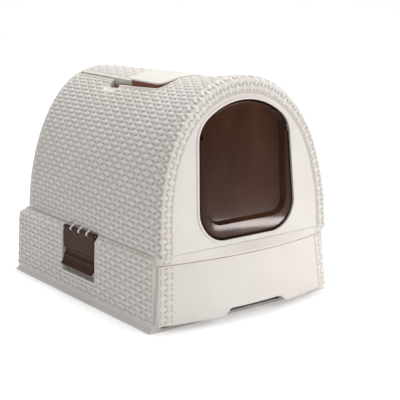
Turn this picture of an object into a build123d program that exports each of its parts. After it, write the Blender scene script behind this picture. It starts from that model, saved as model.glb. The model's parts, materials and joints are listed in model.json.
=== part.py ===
from build123d import *
import math
import os

# Covered litter box with a pull-out drawer. Millimetres, +Z up, front towards -Y.
# Origin: on the ground, under the middle of the footprint.

os.makedirs("parts", exist_ok=True)

# ---------------------------------------------------------------- driving dimensions

overall_width = 385.0  # across the skirt
overall_length = 526.0  # back of the skirt to the bow of the drawer
wall = 2.5  # moulded wall of every casing
seam_gap = 0.3  # between casings that meet but don't slide
root = 1.0  # how far a rib or a cut runs into or past the face it starts from
same_height = 0.01  # corners closer than this lie at one height

# base housing
skirt_height = 10.0
skirt_flare = 6.5  # how far the skirt stands out past the wall
skirt_radius = 26.0  # plan corner of the skirt
cove_steps = 3  # flats in the curve from the skirt up to the wall
base_wall_z = 113.0  # where the wall turns into the shoulder
base_wall_lean = 5.0  # how far the wall leans in over its height
base_corner_radius = 18.0
base_front_setback = 36.0  # drawer bow to the front ends of the base walls
rim_z = 124.0  # seam between base and hood
rim_seat = 1.5  # rim showing outside the hood's foot
lip_height = 5.0  # upstand inside the hood's foot
lip_root = 3.0
lip_clearance = 0.8
lip_wall = 2.0
floor_z = 2.0  # underside of the floor plate
floor_thickness = 3.0
glide_height = 3.0
glide_width = 4.0
glide_xs = (-120.0, -50.0, 50.0, 120.0)
skid_width = 10.0  # runners under the floor
skid_xs = (-90.0, 0.0, 90.0)
foot_rim_width = 12.0  # ring of the skirt that stands on the ground
jamb_width = 11.0  # posts either side of the drawer mouth
jamb_depth = 8.0
rail_lip = 3.0  # upright edge of the front rail under its slope
rail_end_reach = 4.0  # rail past the width over which the bows are measured

# drawer
drawer_bow = 24.0  # how far the drawer front bows out at its middle
drawer_bottom_z = 13.0
drawer_top_z = 107.75
drawer_bottom_half = 181.5
drawer_top_half = 174.0
drawer_lean = 4.8  # degrees, top towards the back
drawer_seam = 1.5  # open line between drawer and front rail
drawer_jamb_gap = 0.8
notch_bottom_half = 68.0
notch_top_half = 53.0
notch_height = 11.0
drawer_boss_radius = 6.0
drawer_boss_length = 40.0  # before it is cut to the bowed face
drawer_stud_length = 16.0
drawer_boss_xs = (-125.0, -60.0, 60.0, 125.0)
drawer_boss_zs = (36.0, 88.0)
tray_half = 167.0
tray_draft = 7.0
tray_rim_width = 5.0
tray_rim_z = 103.0
tray_glide_gap = 0.3
tray_corner_radius = 30.0
tray_end_gap = 6.0  # tray to the back wall

# hood
hood_rear_inset = 20.0  # back of the skirt to the hood's back wall
hood_foot_rear_half = 162.5
hood_foot_front_half = 178.0
arch_spring_z = 108.5  # level at which the arch curves would end
crown_rear_z = 391.0
crown_saddle_z = 386.0
crown_front_z = 394.0
crown_front_y = -232.0
saddle_y = -105.0
arch_stations = 9
arch_power_rear = 1.85
arch_power_front = 2.6
arch_steps = 12
hood_rear_radius = 13.0
hood_front_radius = 9.0
face_setback = 19.2  # drawer bow to the hood's face at the spring level
face_bow = 2.0
face_half = 174.0  # half width over which both bows are measured
face_lean = 2.6  # degrees, top towards the back
band_width_foot = 24.0  # woven border at the foot
band_width_crown = 27.0
band_power = 2.85
face_zone_depth = 44.0  # room behind the face for all that hangs in the front opening
panel_flange = 6.0
panel_flange_thickness = 2.0

# doorway and flap
door_bottom_z = 132.6
door_foot_half = 103.0
door_shoulder_half = 95.0
door_shoulder_z = 314.0
door_top_z = 357.0
door_foot_radius = 52.0
door_shoulder_radius = 48.0
bead_width = 3.5
bead_height = 1.5
flap_gap = 1.6
flap_recess = 1.0  # flap rim behind the panel's face at the doorway's sides
flap_depth = 12.0
flap_edge_radius = 4.5
flap_rail = 14.4  # side rails of the flap's frame
flap_ledge = 30.0  # broad lower ledge
flap_head = 16.0  # band across the top
flap_head_bow = 20.0
flap_plate = 2.6
flap_dish_depth = 8.0
flap_dish_slope = 6.0  # how far the dish opens out from its floor to the rim
flap_dish_foot_radius = 24.0
flap_dish_head_radius = 12.0
flap_skin = 3.0
hinge_z = 302.0
hinge_y_behind_face = 9.5
flap_pin_radius = 3.0
flap_pin_fit = 0.06
flap_end_play = 0.5  # pin end to the bearing's closed end
flap_notch = 7.0
bearing_inner_half = 95.5
bearing_length = 6.8
bearing_size = 13.0
bearing_gap = 0.1

# handle, lid and the well that holds them
lid_front_half = 57.0
lid_rear_half = 45.0
lid_front_y = 10.5
lid_rear_y = 211.0
lid_rise = 4.0
lid_gap = 1.5
lid_skirt_drop = 6.0
lid_corner_radius = 6.0
lid_rear_gap = 5.4  # lets the lid's back edge swing down behind its rod
well_floor_z = 345.0
well_rear_of_pivot = 15.0
opening_bead_width = 3.0
opening_bead_height = 1.5
handle_half = 64.5
handle_front_y = -91.0
handle_gap = 2.0
handle_corner_radius = 14.0
handle_crown_rear_z = 393.0
handle_crown_front_z = 388.5
handle_arc_drop = 11.0  # fall of the grip's top from its middle to its side
handle_arc_reach = 1.4  # the arc is drawn past the side by this share of its drop
handle_skirt = 3.0
handle_skirt_depth = 6.0
arm_width = 5.5
arm_top_inset = 2.0
arm_height = 12.0
arm_overlap = 14.0  # how far an arm runs under the grip
pivot_y = 59.0
pivot_z = 355.5
pivot_eye_radius = 5.5
pivot_pin_radius = 2.5
pin_bore_share = 1.5  # pin's reach into the well's side, in walls
pin_fit = 0.05
handle_to_lid_gap = 0.7
scallop_radius = 14.0
scallop_length = 24.0
scallop_depth = 4.0
scallop_x = 71.0
lid_hinge_inset = 3.0
lid_hinge_drop = 7.5
lid_rod_radius = 1.75
lid_lug_half = 9.0
lid_hinge_room = 27.0  # half width of the gap in the lid's skirt at its hinge
lid_knuckle_radius = 3.2
lid_ear_length = 5.5
lid_ear_gap = 0.5
lid_ear_drop = 14.0
lid_sweep_radius = 7.4

# filter in the floor of the well
filter_half_width = 33.5
filter_front_y = 84.0
filter_rear_y = 196.0
filter_flange = 5.0
filter_flange_thickness = 2.0
filter_basket_drop = 5.0
filter_wall = 2.0
filter_slots = 9
filter_slot_roundness = 0.45  # corner radius over slot width
filter_slot_width = 6.0
filter_pad_height = 12.0
filter_pad_corner = 4.0
filter_gap = 0.4

# side latches
latch_y = 7.0
latch_length = 106.0
latch_pocket_gap = 4.0
latch_pocket_bottom_z = 40.0
latch_pocket_half = 172.0
latch_pocket_rim = 3.5
latch_pocket_rim_height = 1.2
latch_pin_radius = 2.0
latch_knuckle_radius = 4.5
latch_axis_half = 177.2
latch_axis_z = 120.0
latch_fin = 5.0
latch_fin_gap = 0.5
latch_fin_root = 2.0  # how deep a fin is set into the hood's wall
latch_fin_rise = 7.0  # how far a fin climbs the hood's side
latch_fin_brow = 1.3
latch_plate = 3.0
latch_plate_top_z = 114.6
latch_groove_top_z = 83.5
latch_groove_bottom_z = 70.0
latch_groove_depth = 4.0
latch_face_half = 182.6
latch_lip_half = 190.8
latch_lip_z = 53.0
latch_lip_sag = 2.2  # lip past the plate at its turning point
latch_lip_turn = 8.5  # height of that point over the lip's edge
latch_plate_lean = 1.2  # top of the plate leans in
latch_rib = 2.5
latch_rib_rise = 1.5  # rib behind the groove
latch_rib_drop = 5.0

# ---------------------------------------------------------------- worked-out places

rear_y = overall_length / 2
bow_y = -overall_length / 2
skirt_half = overall_width / 2
base_foot_half = skirt_half - skirt_flare
base_top_half = base_foot_half - base_wall_lean
base_front_y = bow_y + base_front_setback
hood_rear_y = rear_y - hood_rear_inset
face_y = bow_y + face_setback
floor_top_z = floor_z + floor_thickness
tray_bottom_z = floor_top_z + glide_height + tray_glide_gap
rail_bottom_z = drawer_top_z + drawer_seam
notch_top_z = drawer_bottom_z + notch_height
hinge_y = face_y + math.tan(math.radians(face_lean)) * (hinge_z - arch_spring_z) + hinge_y_behind_face
face_zone_y = face_y + face_zone_depth
big = 2 * (overall_length + overall_width)  # beyond every surface


def bow_radius(bow):
    """Radius of a face that bows out by the given amount over the face's half width."""
    return (face_half ** 2 + bow ** 2) / (2 * bow)


def leaning_cylinder(bow, lean, front_y, foot_z, inset=0.0):
    """Solid whose front is the bowed, leaning face, set in by the inset."""
    radius = bow_radius(bow)
    middle = Location((0, front_y + radius / math.cos(math.radians(lean)), foot_z), (-lean, 0, 0))
    return middle * Cylinder(radius - inset, big)


def face_block(inset=0.0):
    """All that lies behind the hood's face."""
    return leaning_cylinder(face_bow, face_lean, face_y, arch_spring_z, inset)


def drawer_block(inset=0.0):
    """All that lies behind the drawer's face."""
    return leaning_cylinder(drawer_bow, drawer_lean, bow_y, notch_top_z, inset)


def span_box(x_min, x_max, y_min, y_max, z_min, z_max):
    """Box between six limits."""
    size = Box(x_max - x_min, y_max - y_min, z_max - z_min)
    return Pos((x_min + x_max) / 2, (y_min + y_max) / 2, (z_min + z_max) / 2) * size


def both_sides(solid):
    """A solid on the right and its mirror image on the left."""
    return solid + mirror(solid, about=Plane.YZ)


# ---------------------------------------------------------------- the arch


def mix(start, end, share):
    """Value part of the way from start to end."""
    return start + (end - start) * share


def arch_share(y):
    """How far a station lies from the back of the arch to the front ends of the base walls."""
    return (hood_rear_y - y) / (hood_rear_y - base_front_y)


def arch_half(y):
    """Half width of the arch at its spring level."""
    return mix(hood_foot_rear_half, hood_foot_front_half, arch_share(y))


def arch_power(y):
    """Squareness of the arch."""
    return mix(arch_power_rear, arch_power_front, arch_share(y))


def arch_face(y, half, crown, power):
    """Upright section of the arch: flat foot, curved sides and crown."""
    points = []
    for step in range(arch_steps + 1):
        turn = math.pi * step / arch_steps
        rise = max(math.sin(turn), 0.0) ** (2 / power)
        if step in (0, arch_steps):
            rise = 0.0
        points.append((-half * math.cos(turn), y, arch_spring_z + (crown - arch_spring_z) * rise))
    curve = Spline(*points, tangents=[(0, 0, 1), (0, 0, -1)])
    return make_face([curve, Line(points[-1], points[0])])


def crown_z(y):
    """Height of the arch's ridge: a soft saddle ahead of the handle, rising to the front rim."""
    end_y, end_z = (hood_rear_y, crown_rear_z) if y > saddle_y else (crown_front_y, crown_front_z)
    swing = min((y - saddle_y) / (end_y - saddle_y), 1.0)
    return mix(crown_saddle_z, end_z, (1 - math.cos(math.pi * swing)) / 2)


def arch_block(inset=0.0, rear_inset=0.0):
    """Solid under the arch, set in by the inset."""
    faces = []
    for step in range(arch_stations):
        y = mix(hood_rear_y, bow_y, step / (arch_stations - 1))
        station_y = y - rear_inset if step == 0 else y
        faces.append(arch_face(station_y, arch_half(y) - inset, crown_z(y) - inset, arch_power(y)))
    return loft(faces)


def arch_z(x, y):
    """Height of the arch over a point."""
    turn_sine = math.sqrt(1 - (x / arch_half(y)) ** 2)
    return arch_spring_z + (crown_z(y) - arch_spring_z) * turn_sine ** (2 / arch_power(y))


def arch_edges(solid, low_y, high_y):
    """The long arched edges of a solid between two stations."""
    found = []
    for edge in solid.edges():
        box = edge.bounding_box()
        arched = box.max.Z > crown_saddle_z - hood_rear_radius and box.size.X > overall_width / 2
        if arched and low_y < edge.center().Y < high_y:
            found.append(edge)
    return found


def casing_block(inset=0.0):
    """Rounded outside of the hood, or its inside when set in by the wall."""
    block = arch_block(inset, inset) & face_block(inset)
    block = block & span_box(-big, big, -big, big, rim_z, big)
    block = block.solids()[0]
    block = block.fillet(hood_rear_radius - inset, arch_edges(block, 0, big))
    return block.fillet(hood_front_radius - inset, arch_edges(block, -big, 0))


# ---------------------------------------------------------------- base housing


def base_plan(z, half_rear, half_front, back_y, radius):
    """Plan section of the base: straight front, rounded back corners."""
    outline = Polygon(
        (-half_front, base_front_y),
        (half_front, base_front_y),
        (half_rear, back_y),
        (-half_rear, back_y),
        align=None,
    )
    rounded = fillet(outline.vertices().sort_by(Axis.Y)[-2:], radius)
    return Pos(0, 0, z) * rounded


def base_outside(grow=0.0):
    """Skirt, leaning wall and shoulder as one block."""
    rim_rear = hood_foot_rear_half + rim_seat
    rim_front = arch_half(base_front_y) + rim_seat / 2
    rear_wall_y = rear_y - skirt_flare
    cove = []
    for step in range(cove_steps + 1):
        share = step / cove_steps
        flare = skirt_flare * (1 - share) ** 2
        z = skirt_height * share
        cove.append(
            base_plan(z, base_foot_half + flare + grow, base_foot_half + flare + grow,
                      rear_wall_y + flare + grow, mix(skirt_radius, base_corner_radius, share))
        )
    wall_top = base_plan(base_wall_z, base_top_half + grow, base_top_half + grow,
                         rear_wall_y - base_wall_lean + grow, base_corner_radius)
    rim = base_plan(rim_z - seam_gap, rim_rear + grow, rim_front + grow,
                    hood_rear_y + rim_seat + grow, hood_rear_radius + rim_seat)
    foot = loft(cove, ruled=True)
    walls = loft([cove[-1], wall_top], ruled=True)
    return foot + walls + loft([wall_top, rim], ruled=True)


def base_inside():
    """Room inside the walls, from the floor to the rim."""
    foot = base_foot_half - wall
    top = base_top_half - wall
    lip = wall + lip_clearance + lip_wall
    back = rear_y - skirt_flare - wall
    low = base_plan(floor_top_z, foot, foot, back, base_corner_radius - wall)
    high = base_plan(base_wall_z, top, top, back - base_wall_lean, base_corner_radius - wall)
    rim = base_plan(rim_z - seam_gap, hood_foot_rear_half - lip, arch_half(base_front_y) - lip,
                    hood_rear_y - lip, hood_rear_radius - lip)
    room = loft([low, high], ruled=True) + loft([high, rim], ruled=True)
    return room + extrude(rim, lip_height * 2)


def upstand_lip():
    """Thin lip that stands inside the hood's foot."""
    outer = wall + lip_clearance
    inner = outer + lip_wall
    rings = []
    for inset in (outer, inner):
        rings.append(
            base_plan(rim_z - lip_root, hood_foot_rear_half - inset, arch_half(base_front_y) - inset,
                      hood_rear_y - inset, hood_rear_radius - inset)
        )
    lip = extrude(rings[0] - rings[1], lip_height + lip_root)
    return lip & span_box(-big, big, face_zone_y, big, 0, big)


def front_rail():
    """Rail over the drawer mouth: its sloped face runs from the drawer's bow to the hood's face."""
    back_y = base_front_y + jamb_depth

    def plan(z, front, bow):
        half = face_half + rail_end_reach
        end_y = front + bow * (half / face_half) ** 2
        arc = ThreePointArc((-half, end_y), (0, front), (half, end_y))
        sides = Polyline((half, end_y), (half, back_y), (-half, back_y), (-half, end_y))
        return Pos(0, 0, z) * make_face([arc, *sides.edges()])

    lean = math.tan(math.radians(drawer_lean)) * (rail_bottom_z - notch_top_z)
    slope_z = rail_bottom_z + rail_lip
    face_at_rim = face_y + math.tan(math.radians(face_lean)) * (rim_z - arch_spring_z)
    low = plan(rail_bottom_z, bow_y + lean, drawer_bow)
    turn = plan(slope_z, bow_y + lean, drawer_bow)
    top = plan(rim_z - seam_gap, face_at_rim, face_bow)
    rail = loft([low, turn], ruled=True) + loft([turn, top], ruled=True)
    low_in = plan(rail_bottom_z + wall, bow_y + lean + wall, drawer_bow)
    turn_in = plan(slope_z, bow_y + lean + wall, drawer_bow)
    top_in = plan(rim_z - seam_gap - wall, face_at_rim + wall, face_bow)
    hollow = loft([low_in, turn_in], ruled=True) + loft([turn_in, top_in], ruled=True)
    return rail - (hollow & span_box(-drawer_top_half + wall, drawer_top_half - wall, -big, big, 0, big))


def latch_pocket():
    """Sunk pan for the right-hand latch: its block, its rim and the room cut out of both."""
    half = latch_length / 2 + latch_pocket_gap
    low_y = latch_y - half
    high_y = latch_y + half
    bottom = latch_pocket_bottom_z
    block = span_box(latch_pocket_half - wall, big, low_y - wall, high_y + wall, bottom - wall, rim_z)
    frame = span_box(
        latch_pocket_half, big, low_y - latch_pocket_rim, high_y + latch_pocket_rim,
        bottom - latch_pocket_rim, base_wall_z,
    )
    room = span_box(latch_pocket_half, big, low_y, high_y, bottom, big)
    room = fillet(room.edges().filter_by(Axis.X), wall)
    return block, frame, room


def base_housing():
    """Lower casing."""
    outside = base_outside()
    room = base_inside()
    block, frame, pocket = latch_pocket()
    shell = outside - room
    shell = shell + both_sides(block & outside)
    shell = shell + both_sides((frame & base_outside(latch_pocket_rim_height)) - room)
    jamb_half = base_top_half - jamb_width
    jamb = span_box(jamb_half, big, base_front_y, base_front_y + jamb_depth, floor_z, rim_z) & outside
    shell = shell + both_sides(jamb) + upstand_lip() + front_rail()
    for x in glide_xs:
        shell = shell + span_box(
            x - glide_width / 2, x + glide_width / 2, base_front_y + jamb_depth,
            hood_rear_y - tray_end_gap, floor_top_z - root, floor_top_z + glide_height,
        )
    shell = shell - both_sides(pocket)
    inner_foot = skirt_half - foot_rim_width
    under = span_box(
        -inner_foot, inner_foot, base_front_y + foot_rim_width, rear_y - foot_rim_width, -root, floor_z,
    )
    for x in skid_xs:
        under = under - span_box(x - skid_width / 2, x + skid_width / 2, -big, big, -big, floor_z + root)
    return shell - under


# ---------------------------------------------------------------- drawer


def drawer_outline(inset=0.0):
    """Front view of the drawer front."""
    with_notch = Polygon(
        (-drawer_bottom_half + inset, drawer_bottom_z + inset),
        (drawer_bottom_half - inset, drawer_bottom_z + inset),
        (drawer_top_half - inset, drawer_top_z - inset),
        (-drawer_top_half + inset, drawer_top_z - inset),
        align=None,
    )
    notch = Polygon(
        (-notch_bottom_half - inset, drawer_bottom_z - root),
        (notch_bottom_half + inset, drawer_bottom_z - root),
        (notch_top_half + inset, drawer_bottom_z + notch_height + inset),
        (-notch_top_half - inset, drawer_bottom_z + notch_height + inset),
        align=None,
    )
    return with_notch - fillet(notch.vertices().sort_by(Axis.Y)[-2:], wall * 2)


def facing(outline, low_y, high_y):
    """Front-view outline drawn through a depth."""
    sheet = Plane.XZ * outline
    return Pos(0, high_y, 0) * extrude(sheet, high_y - low_y, dir=(0, -1, 0))


def drawer_front():
    """Bowed front, open at the back, with bosses that meet the tray."""
    back_y = base_front_y - drawer_jamb_gap
    plate = facing(drawer_outline(), bow_y - root, back_y) & drawer_block()
    hollow = facing(drawer_outline(wall), bow_y - root, back_y + root) & drawer_block(wall)
    front = plate - hollow
    tray_front_y = base_front_y + seam_gap
    for x in drawer_boss_xs:
        for z in drawer_boss_zs:
            middle_y = tray_front_y - drawer_boss_length / 2
            boss = Pos(x, middle_y, z) * Rot(90, 0, 0) * Cylinder(drawer_boss_radius, drawer_boss_length)
            front = front + (boss & drawer_block(wall / 2))
    return front


def tray_plan(z, inset, front_y, back_y, radius):
    """Plan section of the tray."""
    half = tray_half - tray_rim_width - inset
    outline = Polygon((-half, front_y), (half, front_y), (half, back_y), (-half, back_y), align=None)
    return Pos(0, 0, z) * fillet(outline.vertices(), radius)


def litter_tray():
    """Deep pan with drafted walls and a rolled rim."""
    front_y = base_front_y + seam_gap
    back_y = hood_rear_y - lip_clearance - wall - lip_wall - tray_end_gap
    low = tray_plan(tray_bottom_z, tray_draft, front_y + tray_draft, back_y - tray_draft, tray_corner_radius)
    high = tray_plan(tray_rim_z, 0, front_y + tray_rim_width, back_y - tray_rim_width, tray_corner_radius)
    low_in = tray_plan(tray_bottom_z + wall, tray_draft + wall, front_y + tray_draft + wall,
                       back_y - tray_draft - wall, tray_corner_radius - wall)
    high_in = tray_plan(tray_rim_z, wall, front_y + tray_rim_width + wall,
                        back_y - tray_rim_width - wall, tray_corner_radius - wall)
    room = loft([low_in, high_in], ruled=True)
    pan = loft([low, high], ruled=True) - room
    rim_radius = tray_corner_radius + tray_rim_width
    rim_plan = tray_plan(tray_rim_z - wall, -tray_rim_width, front_y, back_y, rim_radius)
    rim = extrude(rim_plan, wall) - extrude(Pos(0, 0, -wall) * high_in, 2 * wall)
    pan = pan + rim
    middle_y = front_y + drawer_stud_length / 2
    for x in drawer_boss_xs:
        for z in drawer_boss_zs:
            stud = Pos(x, middle_y, z) * Rot(90, 0, 0) * Cylinder(drawer_boss_radius, drawer_stud_length)
            pan = pan + (stud - room)
    return pan


# ---------------------------------------------------------------- hood


def well_outline(grow=0.0):
    """Plan of the well in the crown: wide for the handle, narrowing behind it round the lid."""
    wide = handle_half + handle_gap + grow
    wide_rear = pivot_y + well_rear_of_pivot + grow
    front = handle_front_y - handle_gap - grow
    rear = lid_rear_y + lid_rear_gap + grow
    narrow_rear = lid_rear_half + lid_gap + grow
    narrow_front = lid_front_half + lid_gap + grow
    handle_room = Polygon((-wide, front), (wide, front), (wide, wide_rear), (-wide, wide_rear), align=None)
    handle_room = fillet(handle_room.vertices().sort_by(Axis.Y)[:2], handle_corner_radius + handle_gap + grow)
    handle_room = fillet(handle_room.vertices().sort_by(Axis.Y)[-2:], lid_corner_radius)
    lid_room = Polygon(
        (-narrow_front, lid_front_y),
        (narrow_front, lid_front_y),
        (narrow_rear, rear),
        (-narrow_rear, rear),
        align=None,
    )
    lid_room = fillet(lid_room.vertices().sort_by(Axis.Y)[-2:], lid_corner_radius + grow)
    return handle_room + lid_room


def drop_through(outline, low_z, high_z=big):
    """Plan outline drawn through a height."""
    return extrude(Pos(0, 0, low_z) * outline, high_z - low_z, dir=(0, 0, 1))


def surface_slope(x, y):
    """Sideways lean of the arch's surface at a point, in radians."""
    fall = arch_z(x - root, y) - arch_z(x + root, y)
    return math.atan2(fall, 2 * root)


def scallop(radius):
    """Finger dish beside a handle pivot, on the right."""
    slope = surface_slope(scallop_x, pivot_y)
    lift = scallop_radius - scallop_depth
    middle = (
        scallop_x + lift * math.sin(slope),
        pivot_y,
        arch_z(scallop_x, pivot_y) + lift * math.cos(slope),
    )
    bar = Rot(90, 0, 0) * Cylinder(radius, scallop_length)
    ends = Pos(0, scallop_length / 2, 0) * Sphere(radius) + Pos(0, -scallop_length / 2, 0) * Sphere(radius)
    return Pos(*middle) * (bar + ends)


def lid_axis_z():
    """Height of the lid's hinge rod."""
    return arch_z(0, lid_rear_y) + lid_rise - lid_hinge_drop


def lid_axis_y():
    """Station of the lid's hinge rod."""
    return lid_rear_y - lid_hinge_inset


def cross_rod(radius, x_min, x_max, y, z):
    """Round bar along X."""
    return Pos((x_min + x_max) / 2, y, z) * Rot(0, 90, 0) * Cylinder(radius, x_max - x_min)


def lid_ears():
    """Two ears under the back edge of the well that hold the lid's rod."""
    y = lid_axis_y()
    z = lid_axis_z()
    inner = lid_lug_half + lid_ear_gap
    outer = inner + lid_ear_length
    eye = cross_rod(lid_knuckle_radius, inner, outer, y, z)
    post = span_box(inner, outer, y - lid_knuckle_radius, y + lid_knuckle_radius, z - lid_ear_drop, z)
    arm = span_box(
        inner, outer, y, lid_rear_y + lid_rear_gap + wall / 2, z - lid_ear_drop, z - lid_sweep_radius,
    )
    ear = eye + post + arm - cross_rod(lid_rod_radius, inner, outer, y, z)
    return both_sides(ear)


def latch_fins():
    """Three fins at the hood's foot on the right that carry the latch pin."""
    foot = arch_half(latch_y)
    x = latch_axis_half
    z = latch_axis_z
    inside_wall = foot - latch_fin_root
    web = Polygon(
        (inside_wall, rim_z),
        (latch_pocket_half + latch_fin_gap, rim_z),
        (x - latch_pin_radius, z + root),
        (x + latch_fin_brow, z + latch_knuckle_radius - root),
        (x - latch_fin_brow, rim_z + latch_fin_rise / 2 - root),
        (inside_wall, rim_z + latch_fin_rise),
        align=None,
    )
    profile = web + Pos(x, z) * Circle(latch_knuckle_radius) - Pos(x, z) * Circle(latch_pin_radius)
    fins = []
    for index in (1, 2, 3):
        middle = latch_y - latch_length / 2 + index * (knuckle_length() + latch_fin + 2 * latch_fin_gap)
        middle = middle - latch_fin / 2 - latch_fin_gap
        fins.append(facing(profile, middle - latch_fin / 2, middle + latch_fin / 2))
    return fins


def knuckle_length():
    """Length of each of the latch's four knuckles."""
    return (latch_length - 3 * (latch_fin + 2 * latch_fin_gap)) / 4


def band_inner_face(grow=0.0):
    """Front view of the panel inside the woven border."""
    half = hood_foot_front_half - band_width_foot + grow
    crown = crown_front_z - band_width_crown + grow
    points = []
    for step in range(arch_steps + 1):
        turn = math.pi * step / arch_steps
        rise = 0.0 if step in (0, arch_steps) else math.sin(turn) ** (2 / band_power)
        points.append((-half * math.cos(turn), arch_spring_z + (crown - arch_spring_z) * rise))
    curve = Spline(*points, tangents=[(0, 1), (0, -1)])
    return make_face([curve, Line(points[-1], points[0])])


def hood_shell():
    """Woven arch with its back wall, border band, well and fins."""
    outside = casing_block()
    under_skin = arch_block(wall / 2)
    well_side = handle_half + handle_gap
    well_out = drop_through(well_outline(wall), well_floor_z - wall)
    well_in = drop_through(well_outline(), well_floor_z)
    bead_ring = drop_through(well_outline(opening_bead_width), well_floor_z) - well_in
    bead = (bead_ring & arch_block(-opening_bead_height)) - under_skin
    dish_backing = scallop(scallop_radius + wall) & under_skin
    pin_boss = cross_rod(pivot_pin_radius + wall, well_side, well_side + 2 * wall, pivot_y, pivot_z)
    pin_bore = cross_rod(pivot_pin_radius, 0, well_side + wall * pin_bore_share, pivot_y, pivot_z)
    vent = span_box(-filter_half_width, filter_half_width, filter_front_y, filter_rear_y,
                    well_floor_z - 2 * wall, well_floor_z + wall)
    opening = facing(band_inner_face(), bow_y, face_zone_y)
    added = [well_out & under_skin, both_sides(dish_backing), both_sides(pin_boss), bead]
    removed = [well_in, both_sides(scallop(scallop_radius)), both_sides(pin_bore), vent, opening]
    fittings = [lid_ears(), *[both_sides(fin) for fin in latch_fins()]]
    shell = (outside - casing_block(wall)) + added
    return (shell - removed) + fittings


# ---------------------------------------------------------------- front panel and flap


def door_face(inset=0.0):
    """Front view of the doorway: near-upright sides, crowned head, rounded corners."""
    foot = door_foot_half - inset
    shoulder = door_shoulder_half - inset
    head = ThreePointArc(
        (-shoulder, door_shoulder_z - inset / 2),
        (0, door_top_z - inset),
        (shoulder, door_shoulder_z - inset / 2),
    )
    rest = Polyline(
        (shoulder, door_shoulder_z - inset / 2),
        (foot, door_bottom_z + inset),
        (-foot, door_bottom_z + inset),
        (-shoulder, door_shoulder_z - inset / 2),
    )
    face = make_face([head, *rest.edges()])
    foot_corners = face.vertices().sort_by(Axis.Y)[:2]
    face = fillet(foot_corners, door_foot_radius - inset)
    shoulder_corners = [v for v in face.vertices() if abs(v.Y - door_shoulder_z + inset / 2) < same_height]
    return fillet(shoulder_corners, door_shoulder_radius - inset)


def skin(outline, outer_inset, inner_inset):
    """Front-view outline bent to the face, between two depths behind it."""
    drawn = facing(outline, bow_y, face_zone_y)
    return (drawn & face_block(outer_inset)) - face_block(inner_inset)


def front_panel():
    """Smooth panel inside the border, with the doorway and its bead."""
    back = wall + bearing_gap + panel_flange_thickness
    inner_edge = facing(band_inner_face(-seam_gap - panel_flange), bow_y, face_zone_y)
    rim = skin(band_inner_face(-seam_gap), 0, back) - (inner_edge & face_block(wall))
    flange = skin(band_inner_face(panel_flange), wall + bearing_gap, back) - inner_edge
    bead = skin(door_face(-bead_width), -bead_height, wall / 2)
    panel = (rim + flange + bead) - facing(door_face(), bow_y - wall, face_zone_y)
    return panel & span_box(-big, big, -big, big, rim_z + seam_gap, big)


def door_bearing(side):
    """Clip behind the panel that carries one of the flap's pins; side is 1 on the right."""
    inner = bearing_inner_half
    outer = inner + bearing_length
    cap = cross_rod(bearing_size / 2, inner, outer, hinge_y, hinge_z)
    seat = span_box(inner, outer, bow_y, hinge_y, hinge_z - bearing_size / 2, hinge_z + bearing_size / 2)
    block = (seat + cap) & face_block(wall + bearing_gap)
    block = block - cross_rod(flap_pin_radius + flap_pin_fit, 0, outer - wall, hinge_y, hinge_z)
    return block if side > 0 else mirror(block, about=Plane.YZ)


def dish_face(grow=0.0):
    """Front view of the sunk part of the flap: bowed head, rounded foot."""
    half = door_shoulder_half - flap_gap - flap_rail + grow
    foot_z = door_bottom_z + flap_gap + flap_ledge - grow
    crown = door_top_z - flap_gap - flap_head + grow
    shoulder = crown - flap_head_bow
    head = ThreePointArc((-half, shoulder), (0, crown), (half, shoulder))
    rest = Polyline((half, shoulder), (half, foot_z), (-half, foot_z), (-half, shoulder))
    face = make_face([head, *rest.edges()])
    face = fillet(face.vertices().sort_by(Axis.Y)[:2], flap_dish_foot_radius + grow)
    shoulder_corners = [v for v in face.vertices() if abs(v.Y - shoulder) < same_height]
    return fillet(shoulder_corners, flap_dish_head_radius + grow)


def leaned(solid):
    """Tips a piece back with the hood's face, about the face's foot."""
    foot = Location((0, face_y, arch_spring_z))
    return foot * Rot(-face_lean, 0, 0) * foot.inverse() * solid


def flap_door():
    """Dished swing door with its two pins."""
    front = face_y + face_bow * (door_shoulder_half / face_half) ** 2 + flap_recess
    floor = front + flap_dish_depth
    back = front + flap_depth
    body = facing(door_face(flap_gap), front, back)
    front_edges = body.faces().sort_by(Axis.Y)[0].edges()
    body = fillet(front_edges, flap_edge_radius)
    mouth = Pos(0, front, 0) * (Plane.XZ * dish_face(flap_dish_slope))
    bottom = Pos(0, floor, 0) * (Plane.XZ * dish_face())
    dish = loft([mouth.face(), bottom.face()], ruled=True)
    behind = facing(dish_face(), floor + flap_plate, back + root)
    rail_in = dish_face(flap_dish_slope + flap_skin)
    channel = facing(door_face(flap_gap + flap_skin) - rail_in, front + flap_skin + root, back + root)
    keep = span_box(-big, big, -big, big, hinge_z - 2 * flap_notch, hinge_z + 2 * flap_notch)
    body = body - dish - behind - (channel - keep)
    rail_half = door_shoulder_half - flap_gap - flap_notch
    notch = span_box(rail_half, big, bow_y, big, hinge_z - flap_notch / 2, hinge_z + flap_notch / 2)
    notch = notch & facing(door_face(-flap_gap), bow_y, hinge_y)
    pin_end = bearing_inner_half + bearing_length - wall - flap_end_play
    pins = cross_rod(flap_pin_radius, rail_half - 2 * wall, pin_end, hinge_y, hinge_z)
    return leaned(body) - both_sides(notch) + both_sides(pins)


# ---------------------------------------------------------------- lid and filter


def lid_outline(inset=0.0):
    """Plan of the lid."""
    front = lid_front_half - inset
    rear = lid_rear_half - inset
    outline = Polygon(
        (-front, lid_front_y + inset),
        (front, lid_front_y + inset),
        (rear, lid_rear_y - inset),
        (-rear, lid_rear_y - inset),
        align=None,
    )
    return fillet(outline.vertices(), lid_corner_radius - inset)


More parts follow.
